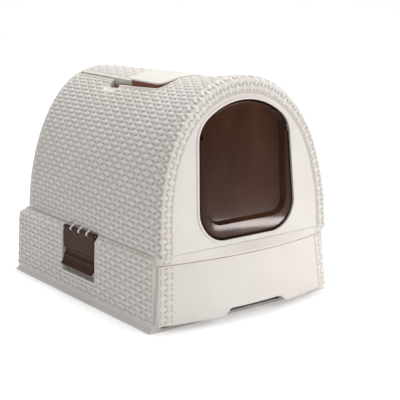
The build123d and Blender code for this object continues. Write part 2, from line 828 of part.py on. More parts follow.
def top_lid():
    """Woven hatch with a skirt inside the opening and a hinge lug at the back."""
    above = arch_block(-lid_rise)
    plate = (drop_through(lid_outline(), well_floor_z) & above) - arch_block(wall - lid_rise)
    ring = drop_through(lid_outline(), well_floor_z) - drop_through(lid_outline(wall), well_floor_z - root)
    skirt = (ring & above) - arch_block(lid_skirt_drop)
    hinge_room = span_box(-lid_hinge_room, lid_hinge_room, lid_axis_y() - lid_sweep_radius, big, 0, big)
    skirt = skirt - (hinge_room & arch_block(wall - lid_rise))
    lug = cross_rod(lid_knuckle_radius, -lid_lug_half, lid_lug_half, lid_axis_y(), lid_axis_z())
    neck = span_box(-lid_lug_half, lid_lug_half, lid_axis_y() - lid_knuckle_radius,
                    lid_axis_y() + lid_knuckle_radius, lid_axis_z(), lid_axis_z() + lid_hinge_drop)
    lug = lug + (neck & arch_block(wall / 2 - lid_rise))
    bore = cross_rod(lid_rod_radius + pin_fit, -big / 2, big / 2, lid_axis_y(), lid_axis_z())
    return plate + skirt + (lug - bore)


def lid_hinge_rod():
    """Rod through the lid's lug and both ears."""
    reach = lid_lug_half + lid_ear_gap + lid_ear_length
    return cross_rod(lid_rod_radius, -reach, reach, lid_axis_y(), lid_axis_z())


def filter_grille():
    """Slotted basket that hangs in the floor of the well."""
    gap = filter_gap
    half = filter_half_width - gap
    front = filter_front_y + gap
    back = filter_rear_y - gap
    low = well_floor_z - filter_basket_drop
    basket = span_box(-half, half, front, back, low, well_floor_z + filter_flange_thickness)
    flange = span_box(-half - filter_flange, half + filter_flange, front - filter_flange,
                      back + filter_flange, well_floor_z, well_floor_z + filter_flange_thickness)
    flange = fillet(flange.edges().filter_by(Axis.Z), filter_flange)
    room = span_box(-half + filter_wall, half - filter_wall, front + filter_wall, back - filter_wall,
                    low + filter_wall, big)
    grille = basket + flange - room
    pitch = (back - front - 2 * filter_wall) / filter_slots
    for index in range(filter_slots):
        middle = front + filter_wall + pitch * (index + 0.5)
        slot = span_box(-half + 2 * filter_wall, half - 2 * filter_wall, middle - filter_slot_width / 2,
                        middle + filter_slot_width / 2, low - root, low + filter_wall + root)
        grille = grille - fillet(slot.edges().filter_by(Axis.Z), filter_slot_width * filter_slot_roundness)
    return grille


def filter_pad():
    """Charcoal pad in the basket."""
    inset = filter_gap + filter_wall + filter_gap
    low = well_floor_z - filter_basket_drop + filter_wall
    pad = span_box(-filter_half_width + inset, filter_half_width - inset, filter_front_y + inset,
                   filter_rear_y - inset, low, low + filter_pad_height)
    pad = fillet(pad.edges().filter_by(Axis.Z), filter_pad_corner)
    return fillet(pad.edges().group_by(Axis.Z)[-1], filter_pad_corner / 2)


# ---------------------------------------------------------------- handle


def handle_outline(inset=0.0):
    """Plan of the grip."""
    half = handle_half - inset
    outline = Polygon(
        (-half, handle_front_y + inset),
        (half, handle_front_y + inset),
        (half, lid_front_y),
        (-half, lid_front_y),
        align=None,
    )
    return fillet(outline.vertices().sort_by(Axis.Y)[:2], handle_corner_radius - inset)


def grip_block(inset=0.0):
    """Solid under the grip's top surface, crowned across and falling to the front."""
    faces = []
    reach = handle_half * math.sqrt(handle_arc_reach)
    low = well_floor_z - handle_half
    for y, crown in ((lid_front_y, handle_crown_rear_z), (handle_front_y - root, handle_crown_front_z)):
        top = crown - inset
        side = top - handle_arc_drop * handle_arc_reach
        arc = ThreePointArc((-reach, y, side), (0, y, top), (reach, y, side))
        base = Polyline((reach, y, side), (reach, y, low), (-reach, y, low), (-reach, y, side))
        faces.append(make_face([arc, *base.edges()]))
    return loft(faces, ruled=True)


def lid_clear_cylinder(grow=0.0):
    """Room about the pivot that takes in the lid's front edge: the grip's back face lies round it."""
    reach = math.hypot(pivot_y - lid_front_y, arch_z(0, lid_front_y) + lid_rise - pivot_z) + handle_to_lid_gap
    return cross_rod(reach + grow, -big / 2, big / 2, pivot_y, pivot_z)


def handle_cover():
    """Smooth upper half of the grip."""
    cover = (drop_through(handle_outline(), well_floor_z) & grip_block()) - grip_block(wall)
    return cover - lid_clear_cylinder()


def handle_core():
    """Lower half of the grip with its skirt, the two arms and their eyes."""
    under = grip_block(wall)
    block = drop_through(handle_outline(), well_floor_z) & under
    hollow = drop_through(handle_outline(handle_skirt), 0) & grip_block(2 * wall)
    back_skirt = lid_clear_cylinder(handle_skirt) & block
    core = block - hollow + back_skirt - lid_clear_cylinder() - arch_block(handle_skirt_depth)
    arm_inner = handle_half - arm_width
    arm = span_box(arm_inner, handle_half, lid_front_y - arm_overlap, pivot_y, well_floor_z, big)
    arm = (arm & arch_block(arm_top_inset)) - arch_block(arm_top_inset + arm_height)
    eye = cross_rod(pivot_eye_radius, arm_inner, handle_half, pivot_y, pivot_z)
    bore = cross_rod(pivot_pin_radius + pin_fit, 0, big / 2, pivot_y, pivot_z)
    arm = arm + eye - bore
    return core + both_sides(arm)


def handle_pin(side):
    """Pin through an arm and the well's side wall."""
    outer = handle_half + handle_gap + wall * pin_bore_share
    pin = cross_rod(pivot_pin_radius, handle_half - arm_width, outer, pivot_y, pivot_z)
    return pin if side > 0 else mirror(pin, about=Plane.YZ)


# ---------------------------------------------------------------- side latches


def latch_profile():
    """End view of the latch's plate: upright plate, concave groove, flared pull lip."""
    face = latch_face_half
    inner = face - latch_plate
    groove = face - latch_groove_depth
    top = latch_plate_top_z
    groove_mid = (latch_groove_top_z + latch_groove_bottom_z) / 2
    lip = latch_lip_half
    turn_x = face + latch_lip_sag
    turn_z = latch_lip_z + latch_lip_turn
    outer_top = face - latch_plate_lean
    edges = [
        Line((outer_top, top), (face, latch_groove_top_z)),
        ThreePointArc((face, latch_groove_top_z), (groove, groove_mid), (face, latch_groove_bottom_z)),
        ThreePointArc((face, latch_groove_bottom_z), (turn_x, turn_z), (lip, latch_lip_z)),
        Line((lip, latch_lip_z), (lip - latch_plate, latch_lip_z)),
        ThreePointArc((lip - latch_plate, latch_lip_z), (turn_x - latch_plate, turn_z),
                      (inner, latch_groove_bottom_z)),
        ThreePointArc((inner, latch_groove_bottom_z), (groove - latch_plate, groove_mid),
                      (inner, latch_groove_top_z)),
        Line((inner, latch_groove_top_z), (outer_top - latch_plate, top)),
        Line((outer_top - latch_plate, top), (outer_top, top)),
    ]
    return make_face(edges)


def latch(side):
    """Clip with four knuckles; side is 1 on the right."""
    low_y = latch_y - latch_length / 2
    body = facing(latch_profile(), low_y, low_y + latch_length)
    inner = latch_face_half - latch_groove_depth - latch_plate
    middle = latch_face_half - latch_plate / 2
    rib_top = latch_plate_top_z - latch_rib_drop
    rib = Polygon(
        (inner, rib_top),
        (inner - latch_rib_rise, rib_top - latch_rib_drop),
        (inner - latch_rib_rise, latch_groove_bottom_z),
        (middle + latch_lip_sag, latch_lip_z + latch_lip_turn / 2),
        (middle, latch_groove_bottom_z),
        (middle - latch_groove_depth, (latch_groove_top_z + latch_groove_bottom_z) / 2),
        (middle, latch_groove_top_z),
        (middle - latch_plate_lean, rib_top),
        align=None,
    )
    for y in (low_y, latch_y - latch_rib / 2, low_y + latch_length - latch_rib):
        body = body + facing(rib, y, y + latch_rib)
    x = latch_axis_half
    z = latch_axis_z
    plate_outer = latch_face_half - latch_plate_lean
    neck = Polygon(
        (x - latch_pin_radius / 2, z),
        (x + latch_knuckle_radius, z),
        (plate_outer, latch_plate_top_z - root),
        (plate_outer - latch_plate, latch_plate_top_z - root),
        align=None,
    )
    knuckle = neck + Pos(x, z) * Circle(latch_knuckle_radius) - Pos(x, z) * Circle(latch_pin_radius + pin_fit)
    step = knuckle_length() + latch_fin + 2 * latch_fin_gap
    for index in range(4):
        start = low_y + index * step
        body = body + facing(knuckle, start, start + knuckle_length())
    return body if side > 0 else mirror(body, about=Plane.YZ)


def latch_pin(side):
    """Pin through the knuckles and fins."""
    bar = Cylinder(latch_pin_radius, latch_length - 2 * latch_pin_radius)
    pin = Pos(latch_axis_half, latch_y, latch_axis_z) * Rot(90, 0, 0) * bar
    return pin if side > 0 else mirror(pin, about=Plane.YZ)


# ---------------------------------------------------------------- write every piece

pieces = {
    "base_housing": base_housing(),
    "drawer_front": drawer_front(),
    "litter_tray": litter_tray(),
    "hood_shell": hood_shell(),
    "front_panel": front_panel(),
    "door_bearing_left": door_bearing(-1),
    "door_bearing_right": door_bearing(1),
    "flap_door": flap_door(),
    "top_lid": top_lid(),
    "lid_hinge_rod": lid_hinge_rod(),
    "filter_grille": filter_grille(),
    "filter_pad": filter_pad(),
    "handle_core": handle_core(),
    "handle_cover": handle_cover(),
    "handle_pin_left": handle_pin(-1),
    "handle_pin_right": handle_pin(1),
    "latch_left": latch(-1),
    "latch_right": latch(1),
    "latch_pin_left": latch_pin(-1),
    "latch_pin_right": latch_pin(1),
}

for name, solid in pieces.items():
    export_step(solid, f"parts/{name}.step")
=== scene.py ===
"""Looks of a drawer litter box with a woven-pattern hood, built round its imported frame."""

import json
import logging
import math
from dataclasses import dataclass, field
from enum import Enum

import bpy
import numpy as np
from mathutils import Matrix, Vector
from mathutils.bvhtree import BVHTree


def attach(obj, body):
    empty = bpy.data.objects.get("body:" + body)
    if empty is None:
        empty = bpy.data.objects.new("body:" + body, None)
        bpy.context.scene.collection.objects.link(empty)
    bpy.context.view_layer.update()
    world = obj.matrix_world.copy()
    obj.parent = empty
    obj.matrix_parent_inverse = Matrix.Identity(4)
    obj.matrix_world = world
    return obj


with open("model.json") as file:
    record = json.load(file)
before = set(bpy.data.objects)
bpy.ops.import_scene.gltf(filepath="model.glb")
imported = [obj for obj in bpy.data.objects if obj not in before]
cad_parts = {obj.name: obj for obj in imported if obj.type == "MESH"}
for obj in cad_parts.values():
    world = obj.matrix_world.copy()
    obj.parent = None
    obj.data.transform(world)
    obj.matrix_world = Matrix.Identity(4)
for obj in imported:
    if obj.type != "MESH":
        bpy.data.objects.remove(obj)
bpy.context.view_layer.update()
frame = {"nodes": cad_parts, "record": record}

HANDLE_NODE = "handle_core"
MM = 0.001
TINY = 1e-6
FLOAT_GAP = 1e-12
MIX_COLOUR_INPUTS = (6, 7)
MIX_COLOUR_OUTPUT = 2
LOG = logging.getLogger("litter_box")

Points = np.ndarray
Triple = tuple[float, float, float]
Colour = Triple
Span = tuple[float, float]
Noise = tuple[float, float] | tuple[float, float, Triple]


class Body(Enum):
    """Rigid groups that the pieces ride on."""

    BASE = "base"
    DRAWER = "drawer"
    HOOD = "hood"
    LID = "lid"


class Slot(Enum):
    """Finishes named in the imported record."""

    CREAM = "cream_plastic"
    GLOSS_BROWN = "brown_gloss_plastic"
    BROWN = "brown_plastic"
    PIN = "pin_plastic"
    CHARCOAL = "charcoal_felt"


# ---------------------------------------------------------------- finishes


@dataclass
class NodeBench:
    """Small helper that lays out the nodes of one material."""

    name: str
    material: bpy.types.Material = field(init=False)

    def __post_init__(self) -> None:
        """Makes an empty material with a Principled shader and an output."""
        self.material = bpy.data.materials.new(self.name)
        self.material.use_nodes = True
        self.tree = self.material.node_tree
        self.shader = self.tree.nodes["Principled BSDF"]

    def add(self, kind: str, **settings: object) -> bpy.types.Node:
        """Adds a node.

        Args:
            kind: the node's Blender type, without its ShaderNode prefix.
            settings: attributes to set, or input values where the name is an input's.

        Returns:
            The node.
        """
        node = self.tree.nodes.new("ShaderNode" + kind)
        for key, value in settings.items():
            if hasattr(node, key):
                setattr(node, key, value)
            else:
                node.inputs[key.replace("_", " ")].default_value = value
        return node

    def link(self, source: bpy.types.NodeSocket, target: bpy.types.NodeSocket) -> None:
        """Joins two sockets."""
        self.tree.links.new(source, target)

    def noise(self, scale: float, detail: float = 4.0, stretch: Triple = (1, 1, 1)) -> bpy.types.NodeSocket:
        """Noise over object coordinates.

        Args:
            scale: cells per metre.
            detail: octaves.
            stretch: scale along each axis before the noise.

        Returns:
            The noise's value socket.
        """
        coords = self.add("TexCoord")
        mapping = self.add("Mapping")
        mapping.inputs["Scale"].default_value = stretch
        self.link(coords.outputs["Object"], mapping.inputs["Vector"])
        texture = self.add("TexNoise", Scale=scale, Detail=detail)
        self.link(mapping.outputs["Vector"], texture.inputs["Vector"])
        return texture.outputs["Fac"]

    def spread(self, value: bpy.types.NodeSocket, low: float, high: float,
               from_low: float = 0.3, from_high: float = 0.7) -> bpy.types.NodeSocket:
        """Maps a value to a range.

        Args:
            value: socket to map.
            low: result at from_low.
            high: result at from_high.
            from_low: lower end of what comes in.
            from_high: upper end of what comes in.

        Returns:
            The mapped value's socket.
        """
        ramp = self.add("MapRange")
        for index, number in enumerate((from_low, from_high, low, high), start=1):
            ramp.inputs[index].default_value = number
        self.link(value, ramp.inputs[0])
        return ramp.outputs[0]

    def blend(self, share: bpy.types.NodeSocket, first: object, second: object) -> bpy.types.NodeSocket:
        """Mixes two colours.

        Args:
            share: how much of the second.
            first: colour or socket.
            second: colour or socket.

        Returns:
            The mixed colour's socket.
        """
        mixer = self.add("Mix", data_type="RGBA")
        self.link(share, mixer.inputs["Factor"])
        for index, value in zip(MIX_COLOUR_INPUTS, (first, second)):
            socket = mixer.inputs[index]
            if isinstance(value, bpy.types.NodeSocket):
                self.link(value, socket)
            else:
                socket.default_value = (*value, 1.0)
        return mixer.outputs[MIX_COLOUR_OUTPUT]

    def level(self, **values: object) -> None:
        """Sets constant inputs of the shader; a name's underscores stand for spaces."""
        for key, value in values.items():
            self.shader.inputs[key.replace("_", " ")].default_value = value

    def tint(self, scale: float, first: Colour, second: Colour, rough: Span,
             rough_scale: float) -> None:
        """Mottles the shader's colour and roughness with noise.

        Args:
            scale: cells per metre of the colour.
            first: one colour.
            second: the other.
            rough: lowest and highest roughness.
            rough_scale: cells per metre of the roughness.
        """
        colour = self.blend(self.spread(self.noise(scale), 0.0, 1.0), first, second)
        self.link(colour, self.shader.inputs["Base Color"])
        self.link(self.spread(self.noise(rough_scale), *rough), self.shader.inputs["Roughness"])

    def bump(self, height: bpy.types.NodeSocket, depth: float, strength: float) -> None:
        """Feeds a height into the shader's normal, depth in metres."""
        node = self.add("Bump", Distance=depth, Strength=strength)
        self.link(height, node.inputs["Height"])
        self.link(node.outputs["Normal"], self.shader.inputs["Normal"])


@dataclass(frozen=True)
class CreamFinish:
    """Satin cream plastic with a fine moulding grain, and painted shade that darkens the relief's recesses.

    Each noise is given as cells per metre, octaves and, where it isn't even, its stretch.
    """

    name: str = "cream_moulded_plastic"
    pale: Colour = (0.76, 0.725, 0.69)
    warm: Colour = (0.71, 0.67, 0.63)
    # painted shade: darker colour mixed into the relief's recesses, standing in for the shade that falls
    # there
    painted_recess_shade: Colour = (0.47, 0.435, 0.40)
    rough: Span = (0.42, 0.56)
    cloud: Noise = (9.0, 3.0)
    scuff: Noise = (60.0, 5.0)
    pores: Noise = (2200.0, 2.0)
    grain: float = 0.00006
    grain_strength: float = 0.35
    specular: float = 0.42
    depth: float = 0.04
    depth_radius: Triple = (0.004, 0.0035, 0.003)
    # switches on the painted shade in the recesses, for the woven relief's sheets
    relief_with_painted_shade: bool = False

    def make(self) -> bpy.types.Material:
        """Builds the material."""
        bench = NodeBench(self.name)
        cloud = bench.spread(bench.noise(*self.cloud), 0.0, 1.0)
        colour = bench.blend(cloud, self.pale, self.warm)
        if self.relief_with_painted_shade:
            # painted shade: the lower a place of the relief, the more of the darker recess colour it takes
            depth = bench.add("Attribute", attribute_name="painted_recess_shade")
            share = bench.spread(depth.outputs["Fac"], 0.0, 1.0, 0.0, 1.0)
            colour = bench.blend(share, colour, self.painted_recess_shade)
        bench.link(colour, bench.shader.inputs["Base Color"])
        bench.link(bench.spread(bench.noise(*self.scuff), *self.rough), bench.shader.inputs["Roughness"])
        bench.bump(bench.noise(*self.pores), self.grain, self.grain_strength)
        bench.level(Specular_IOR_Level=self.specular, Subsurface_Weight=self.depth,
                    Subsurface_Radius=self.depth_radius)
        return bench.material


@dataclass(frozen=True)
class BrownFinish:
    """Dark brown plastic with faint flow marks."""

    name: str
    dark: Colour = (0.034, 0.012, 0.008)
    light: Colour = (0.056, 0.022, 0.014)
    rough: Span = (0.30, 0.42)
    coat: float = 0.0
    coat_rough: float = 0.06
    flow: Noise = (14.0, 4.0, (1.0, 1.0, 0.35))
    smear: Noise = (38.0, 6.0, (1.0, 1.0, 0.5))
    pores: Noise = (900.0, 3.0)
    grain: float = 0.00004
    grain_strength: float = 0.25
    specular: float = 0.12

    def make(self) -> bpy.types.Material:
        """Builds the material."""
        bench = NodeBench(self.name)
        flow = bench.spread(bench.noise(*self.flow), 0.0, 1.0)
        bench.link(bench.blend(flow, self.dark, self.light), bench.shader.inputs["Base Color"])
        smear = bench.spread(bench.noise(*self.smear), *self.rough)
        bench.link(smear, bench.shader.inputs["Roughness"])
        bench.bump(bench.noise(*self.pores), self.grain, self.grain_strength)
        bench.level(Specular_IOR_Level=self.specular, Coat_Weight=self.coat, Coat_Roughness=self.coat_rough)
        return bench.material


@dataclass(frozen=True)
class FeltFinish:
    """Charcoal-filled felt of the filter pad."""

    name: str = "charcoal_felt"
    dark: Colour = (0.012, 0.012, 0.012)
    light: Colour = (0.07, 0.07, 0.068)
    fibres: Noise = (700.0, 8.0, (1.0, 3.0, 1.0))
    rough: float = 0.95
    sheen: float = 0.3
    pile: float = 0.0006
    pile_strength: float = 0.8

    def make(self) -> bpy.types.Material:
        """Builds the material."""
        bench = NodeBench(self.name)
        fibre = bench.noise(*self.fibres)
        colour = bench.blend(bench.spread(fibre, 0.0, 1.0), self.dark, self.light)
        bench.link(colour, bench.shader.inputs["Base Color"])
        bench.level(Roughness=self.rough, Sheen_Weight=self.sheen)
        bench.bump(fibre, self.pile, self.pile_strength)
        return bench.material


@dataclass(frozen=True)
class PinFinish:
    """Plain pale nylon of the hinge pins."""

    name: str = "pin_nylon"
    dark: Colour = (0.62, 0.58, 0.54)
    light: Colour = (0.70, 0.66, 0.62)
    mottle: float = 80.0
    rough: Span = (0.30, 0.42)
    rough_mottle: float = 300.0

    def make(self) -> bpy.types.Material:
        """Builds the material."""
        bench = NodeBench(self.name)
        bench.tint(self.mottle, self.dark, self.light, self.rough, self.rough_mottle)
        return bench.material


# ---------------------------------------------------------------- weave relief


def dome(inside: Points) -> Points:
    """Height of a round-topped bump, 1 at its middle, where inside falls from 1 to 0 at its edge."""
    return np.sqrt(np.clip(inside, 0.0, 1.0))


@dataclass(frozen=True)
class Weave:
    """Height pattern of the moulded basket weave, in millimetres.

    Short plump strands lie in rows, each row shifted by half a repeat, and an upright stake shows between the
    ends of two strands of a row.
    """

    pitch: float = 31.0
    row: float = 8.6
    strand_length: float = 26.5
    strand_height: float = 8.0
    rise: float = 2.3
    stake_width: float = 8.4
    stake_rise: float = 1.15
    plumpness: float = 2.0

    def height(self, across: Points, along: Points) -> Points:
        """Height of the relief.

        Args:
            across: distance along the rows, in millimetres.
            along: distance over the rows, in millimetres.

        Returns:
            Height over the casing at each place.
        """
        lift = np.zeros(np.shape(across))
        for step in (-1, 0, 1):
            row_index = np.floor(along / self.row) + step
            place = across / self.pitch - np.where(row_index % 2 == 0, 0.0, 0.5)
            du = (place - np.round(place)) * self.pitch / (0.5 * self.strand_length)
            dv = (along - (row_index + 0.5) * self.row) / (0.5 * self.strand_height)
            lift = np.maximum(lift, self.rise * dome(1.0 - np.abs(du) ** self.plumpness - np.abs(dv) ** 2))
        place = across / (0.5 * self.pitch)
        ds = (place - np.round(place)) * self.pitch / self.stake_width
        return np.maximum(lift, self.stake_rise * dome(1.0 - ds ** 2))


@dataclass(frozen=True)
class BandWeave:
    """Coarser plait of the border band: strands over every second stake."""

    column: float = 11.0
    row: float = 8.5
    strand_length: float = 15.2
    strand_height: float = 7.7
    rise: float = 2.1
    end_power: float = 3.0
    side_power: float = 2.2
    stake_width: float = 7.0
    stake_rise: float = 1.35

    def height(self, across: Points, along: Points) -> Points:
        """Height of the relief.

        Args:
            across: distance over the band from its outer edge, in millimetres.
            along: distance along the band, in millimetres.

        Returns:
            Height over the casing at each place.
        """
        lift = np.zeros(np.shape(across))
        column_index = np.floor(across / self.column)
        for step in (-1, 0, 1):
            column = column_index + step
            centre_u = (column + 0.5) * self.column
            shift = np.where(column % 2 == 0, 0.0, 1.0)
            rows = along / self.row - shift
            nearest = np.round(rows / 2.0) * 2.0
            dv = (rows - nearest) * self.row / (0.5 * self.strand_height)
            du = (across - centre_u) / (0.5 * self.strand_length)
            inside = 1.0 - np.abs(du) ** self.end_power - np.abs(dv) ** self.side_power
            lift = np.maximum(lift, self.rise * dome(inside))
            ds = (across - centre_u) / (0.5 * self.stake_width)
            lift = np.maximum(lift, self.stake_rise * dome(1.0 - ds ** 2))
        return lift


def smooth_share(value: Points, low: float, high: float) -> Points:
    """Smooth step from 0 at low to 1 at high."""
    share = np.clip((value - low) / (high - low), 0.0, 1.0)
    return share * share * (3.0 - 2.0 * share)


def fade_in(value: Points, edge: float, span: Span) -> Points:
    """Share of the relief that is left at a distance, 0 to 1 over a span that is counted from an edge."""
    return smooth_share(value, edge + span[0], edge + span[1])


def grid_normals(points: Points) -> Points:
    """Unit normals of a grid of points, shape (rows, columns, 3)."""
    along_rows = np.gradient(points, axis=0)
    along_columns = np.gradient(points, axis=1)
    normals = np.cross(along_rows, along_columns)
    return normals / np.maximum(np.linalg.norm(normals, axis=2, keepdims=True), FLOAT_GAP)


def neighbour_mean(values: Points) -> Points:
    """Mean of the four neighbours of each place of a grid."""
    padded = np.pad(values, 1, mode="edge")
    return (padded[:-2, 1:-1] + padded[2:, 1:-1] + padded[1:-1, :-2] + padded[1:-1, 2:]) / 4.0


def running_length(points: Points) -> Points:
    """Distance of each point along a line of points."""
    return np.concatenate([[0.0], np.cumsum(np.linalg.norm(np.diff(points, axis=0), axis=1))])


def frame_distance(dx: Points, dy: Points) -> Points:
    """Distance outside a rectangle from the distances over its two pairs of sides."""
    return np.hypot(np.maximum(dx, 0), np.maximum(dy, 0)) + np.minimum(np.maximum(dx, dy), 0)


def bow_depth(x: Points, half: float, bow: float) -> Points:
    """How far a face that is bowed by an arc falls back from its middle.

    Args:
        x: places across the face.
        half: half width over which the bow is measured.
        bow: fall at that half width.

    Returns:
        The fall at each place.
    """
    radius = (half ** 2 + bow ** 2) / (2 * bow)
    return radius - np.sqrt(radius ** 2 - x ** 2)


@dataclass
class Drape:
    """Lays a smooth grid on a CAD node by rays cast at coarse places."""

    node: str
    reach: float = 7.0
    limit: float = 3.5
    passes: int = 60

    def __post_init__(self) -> None:
        """Builds the ray tree of the node."""
        mesh = frame["nodes"][self.node].data
        self.tree = BVHTree.FromPolygons(
            [vertex.co for vertex in mesh.vertices], [tuple(face.vertices) for face in mesh.polygons]
        )

    def offsets(self, points: Points, normals: Points, every: int = 10) -> Points:
        """How far the node's surface lies from a grid, smoothed.

        Args:
            points: grid of places in metres.
            normals: outward unit normals.
            every: grid lines between rays.

        Returns:
            Offset along the normal at each place, in metres.
        """
        rows, columns = points.shape[:2]
        row_ids = np.unique(np.append(np.arange(0, rows, every), rows - 1))
        column_ids = np.unique(np.append(np.arange(0, columns, every), columns - 1))
        found = np.full((len(row_ids), len(column_ids)), np.nan)
        for i, row in enumerate(row_ids):
            for j, column in enumerate(column_ids):
                normal = Vector(normals[row, column])
                start = Vector(points[row, column]) + normal * (self.reach * MM)
                _, _, _, distance = self.tree.ray_cast(start, -normal, 2 * self.reach * MM)
                if distance is not None and abs(self.reach * MM - distance) < self.limit * MM:
                    found[i, j] = self.reach * MM - distance
        return self.spread(self.filled(found), row_ids, column_ids, rows, columns)

    def filled(self, values: Points) -> Points:
        """Fills the places where no ray hit from their neighbours, and evens the rest."""
        known = ~np.isnan(values)
        if not known.any():
            return np.zeros_like(values)
        result = np.where(known, values, np.nanmean(values))
        for _ in range(self.passes):
            result = np.where(known, result, neighbour_mean(result))
        return 0.5 * result + 0.5 * neighbour_mean(result)

    def laid(self, points: Points, normals: Points, over: float, every: int = 10) -> Points:
        """Moves a grid on to the node's surface.

        Args:
            points: grid of places in metres.
            normals: outward unit normals.
            over: height that is left over the surface, in millimetres.
            every: grid lines between rays.

        Returns:
            The moved grid.
        """
        return points + normals * (self.offsets(points, normals, every) + over * MM)[..., None]

    @staticmethod
    def spread(values: Points, row_ids: Points, column_ids: Points, rows: int, columns: int) -> Points:
        """Bilinear spread of coarse values over the full grid."""
        step_one = np.array([np.interp(np.arange(columns), column_ids, line) for line in values])
        return np.array([np.interp(np.arange(rows), row_ids, line) for line in step_one.T]).T


@dataclass
class Skin:
    """Thin moulded sheet with relief, closed at its back and edges."""

    name: str
    body: Body
    material: bpy.types.Material
    back: float = 1.2
    sink: float = 0.8
    # how sharply the painted shade gathers in the lowest parts of the relief
    painted_shade_power: int = 2

    def build(self, points: Points, normals: Points, height: Points, keep: Points) -> bpy.types.Object:
        """Makes the sheet's mesh.

        Args:
            points: grid of places on the casing, in metres.
            normals: outward unit normals.
            height: relief in millimetres.
            keep: 1 inside the woven area, falling to 0 outside it.

        Returns:
            The new object, riding on its body.
        """
        rows, columns = keep.shape
        lift = height * keep - self.sink * (1.0 - keep)
        top = points + normals * (lift * MM)[..., None]
        under = points - normals * (self.back * MM)
        cell = np.zeros((rows - 1, columns - 1), bool)
        alive = keep > 0.0
        for di in (0, 1):
            for dj in (0, 1):
                cell |= alive[di:rows - 1 + di, dj:columns - 1 + dj]
        index = np.arange(rows * columns).reshape(rows, columns)
        total = rows * columns
        corners = np.stack([index[:-1, :-1], index[1:, :-1], index[1:, 1:], index[:-1, 1:]], axis=-1)[cell]
        back_faces = corners[:, ::-1] + total
        sides = self.side_faces(cell, index, total)
        faces = np.concatenate([corners, back_faces, sides])
        vertices = np.concatenate([top.reshape(-1, 3), under.reshape(-1, 3)])
        # painted shade: share of the darker recess colour, 1 where the relief is lowest; the back layer takes
        # it in full
        painted_recess_shade = np.clip(1.0 - height / max(float(height.max()), TINY), 0.0, 1.0) ** self.painted_shade_power * keep
        painted_recess_shade = np.concatenate([painted_recess_shade.ravel(), np.ones(total)])
        used = np.unique(faces)
        remap = np.zeros(2 * total, np.int64)
        remap[used] = np.arange(len(used))
        return self.to_object(vertices[used], remap[faces], painted_recess_shade[used])

    @staticmethod
    def side_faces(cell: Points, index: Points, total: int) -> Points:
        """Faces that join the sheet's top to its back along the rim of the kept cells."""
        padded = np.pad(cell, 1)
        sides = []
        inner = padded[1:-1, 1:-1]
        for edge, neighbour in (
            ((index[:-1, :-1], index[:-1, 1:]), padded[:-2, 1:-1]),
            ((index[1:, 1:], index[1:, :-1]), padded[2:, 1:-1]),
            ((index[1:, :-1], index[:-1, :-1]), padded[1:-1, :-2]),
            ((index[:-1, 1:], index[1:, 1:]), padded[1:-1, 2:]),
        ):
            rim = inner & ~neighbour
            first, second = edge[0][rim], edge[1][rim]
            sides.append(np.stack([first, second, second + total, first + total], axis=-1))
        return np.concatenate(sides)

    def to_object(self, vertices: Points, faces: Points, painted_recess_shade: Points) -> bpy.types.Object:
        """Writes the arrays into a smooth-shaded mesh object."""
        mesh = bpy.data.meshes.new(self.name)
        mesh.vertices.add(len(vertices))
        mesh.vertices.foreach_set("co", vertices.astype(np.float32).ravel())
        mesh.loops.add(len(faces) * 4)
        mesh.loops.foreach_set("vertex_index", faces.astype(np.int32).ravel())
        mesh.polygons.add(len(faces))
        mesh.polygons.foreach_set("loop_start", (np.arange(len(faces)) * 4).astype(np.int32))
        mesh.polygons.foreach_set("use_smooth", np.ones(len(faces), bool))
        mesh.update(calc_edges=True)
        mesh.validate()
        # per-vertex share of painted shade, read by the relief's finish
        layer = mesh.attributes.new("painted_recess_shade", "FLOAT", "POINT")
        layer.data.foreach_set("value", painted_recess_shade.astype(np.float32))
        mesh.materials.append(self.material)
        piece = bpy.data.objects.new(self.name, mesh)
        bpy.context.scene.collection.objects.link(piece)
        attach(piece, self.body.value)
        LOG.info("%s: %d vertices", self.name, len(vertices))
        return piece


# ---------------------------------------------------------------- the casings' shapes


@dataclass(frozen=True)
class HoodForm:
    """Sizes of the arched hood, in millimetres."""

    rear_y: float = 243.0
    base_front_y: float = -227.0
    rear_half: float = 162.5
    front_half: float = 178.0
    spring_z: float = 108.5
    rim_z: float = 124.0
    rear_crown: float = 391.0
    saddle: float = 386.0
    front_crown: float = 394.0
    front_crown_y: float = -232.0
    saddle_y: float = -105.0
    rear_power: float = 1.85
    front_power: float = 2.6
    face_y: float = -243.8
    face_bow: float = 2.0
    bow_half: float = 174.0
    face_lean: float = 2.6
    front_radius: float = 9.0
    rear_radius: float = 13.0
    band_foot: float = 24.0
    band_crown: float = 27.0
    band_power: float = 2.85

    def share(self, y: Points) -> Points:
        """How far a station lies from the back towards the front."""
        return (self.rear_y - y) / (self.rear_y - self.base_front_y)

    def half(self, y: Points) -> Points:
        """Half width at the spring level."""
        return self.rear_half + (self.front_half - self.rear_half) * self.share(y)

    def power(self, y: Points) -> Points:
        """Squareness of the section."""
        return self.rear_power + (self.front_power - self.rear_power) * self.share(y)

    def crown(self, y: Points) -> Points:
        """Height of the ridge."""
        back = y > self.saddle_y
        end_y = np.where(back, self.rear_y, self.front_crown_y)
        end_z = np.where(back, self.rear_crown, self.front_crown)
        swing = np.minimum((y - self.saddle_y) / (end_y - self.saddle_y), 1.0)
        return self.saddle + (end_z - self.saddle) * (1 - np.cos(np.pi * swing)) / 2

    def section(self, y: float, turn: Points) -> Points:
        """Points of the arch's outline at a station for angles from left foot to right foot."""
        sine = np.maximum(np.sin(turn), 0.0)
        x = -self.half(y) * np.cos(turn)
        z = self.spring_z + (self.crown(y) - self.spring_z) * sine ** (2 / self.power(y))
        return np.stack([x, np.full_like(x, y), z], axis=-1)

    def face_station(self, x: Points, z: Points) -> Points:
        """Station of the bowed, leaning front face."""
        lean = math.radians(self.face_lean)
        bow = bow_depth(x, self.bow_half, self.face_bow)
        return self.face_y + bow / math.cos(lean) + math.tan(lean) * (z - self.spring_z)


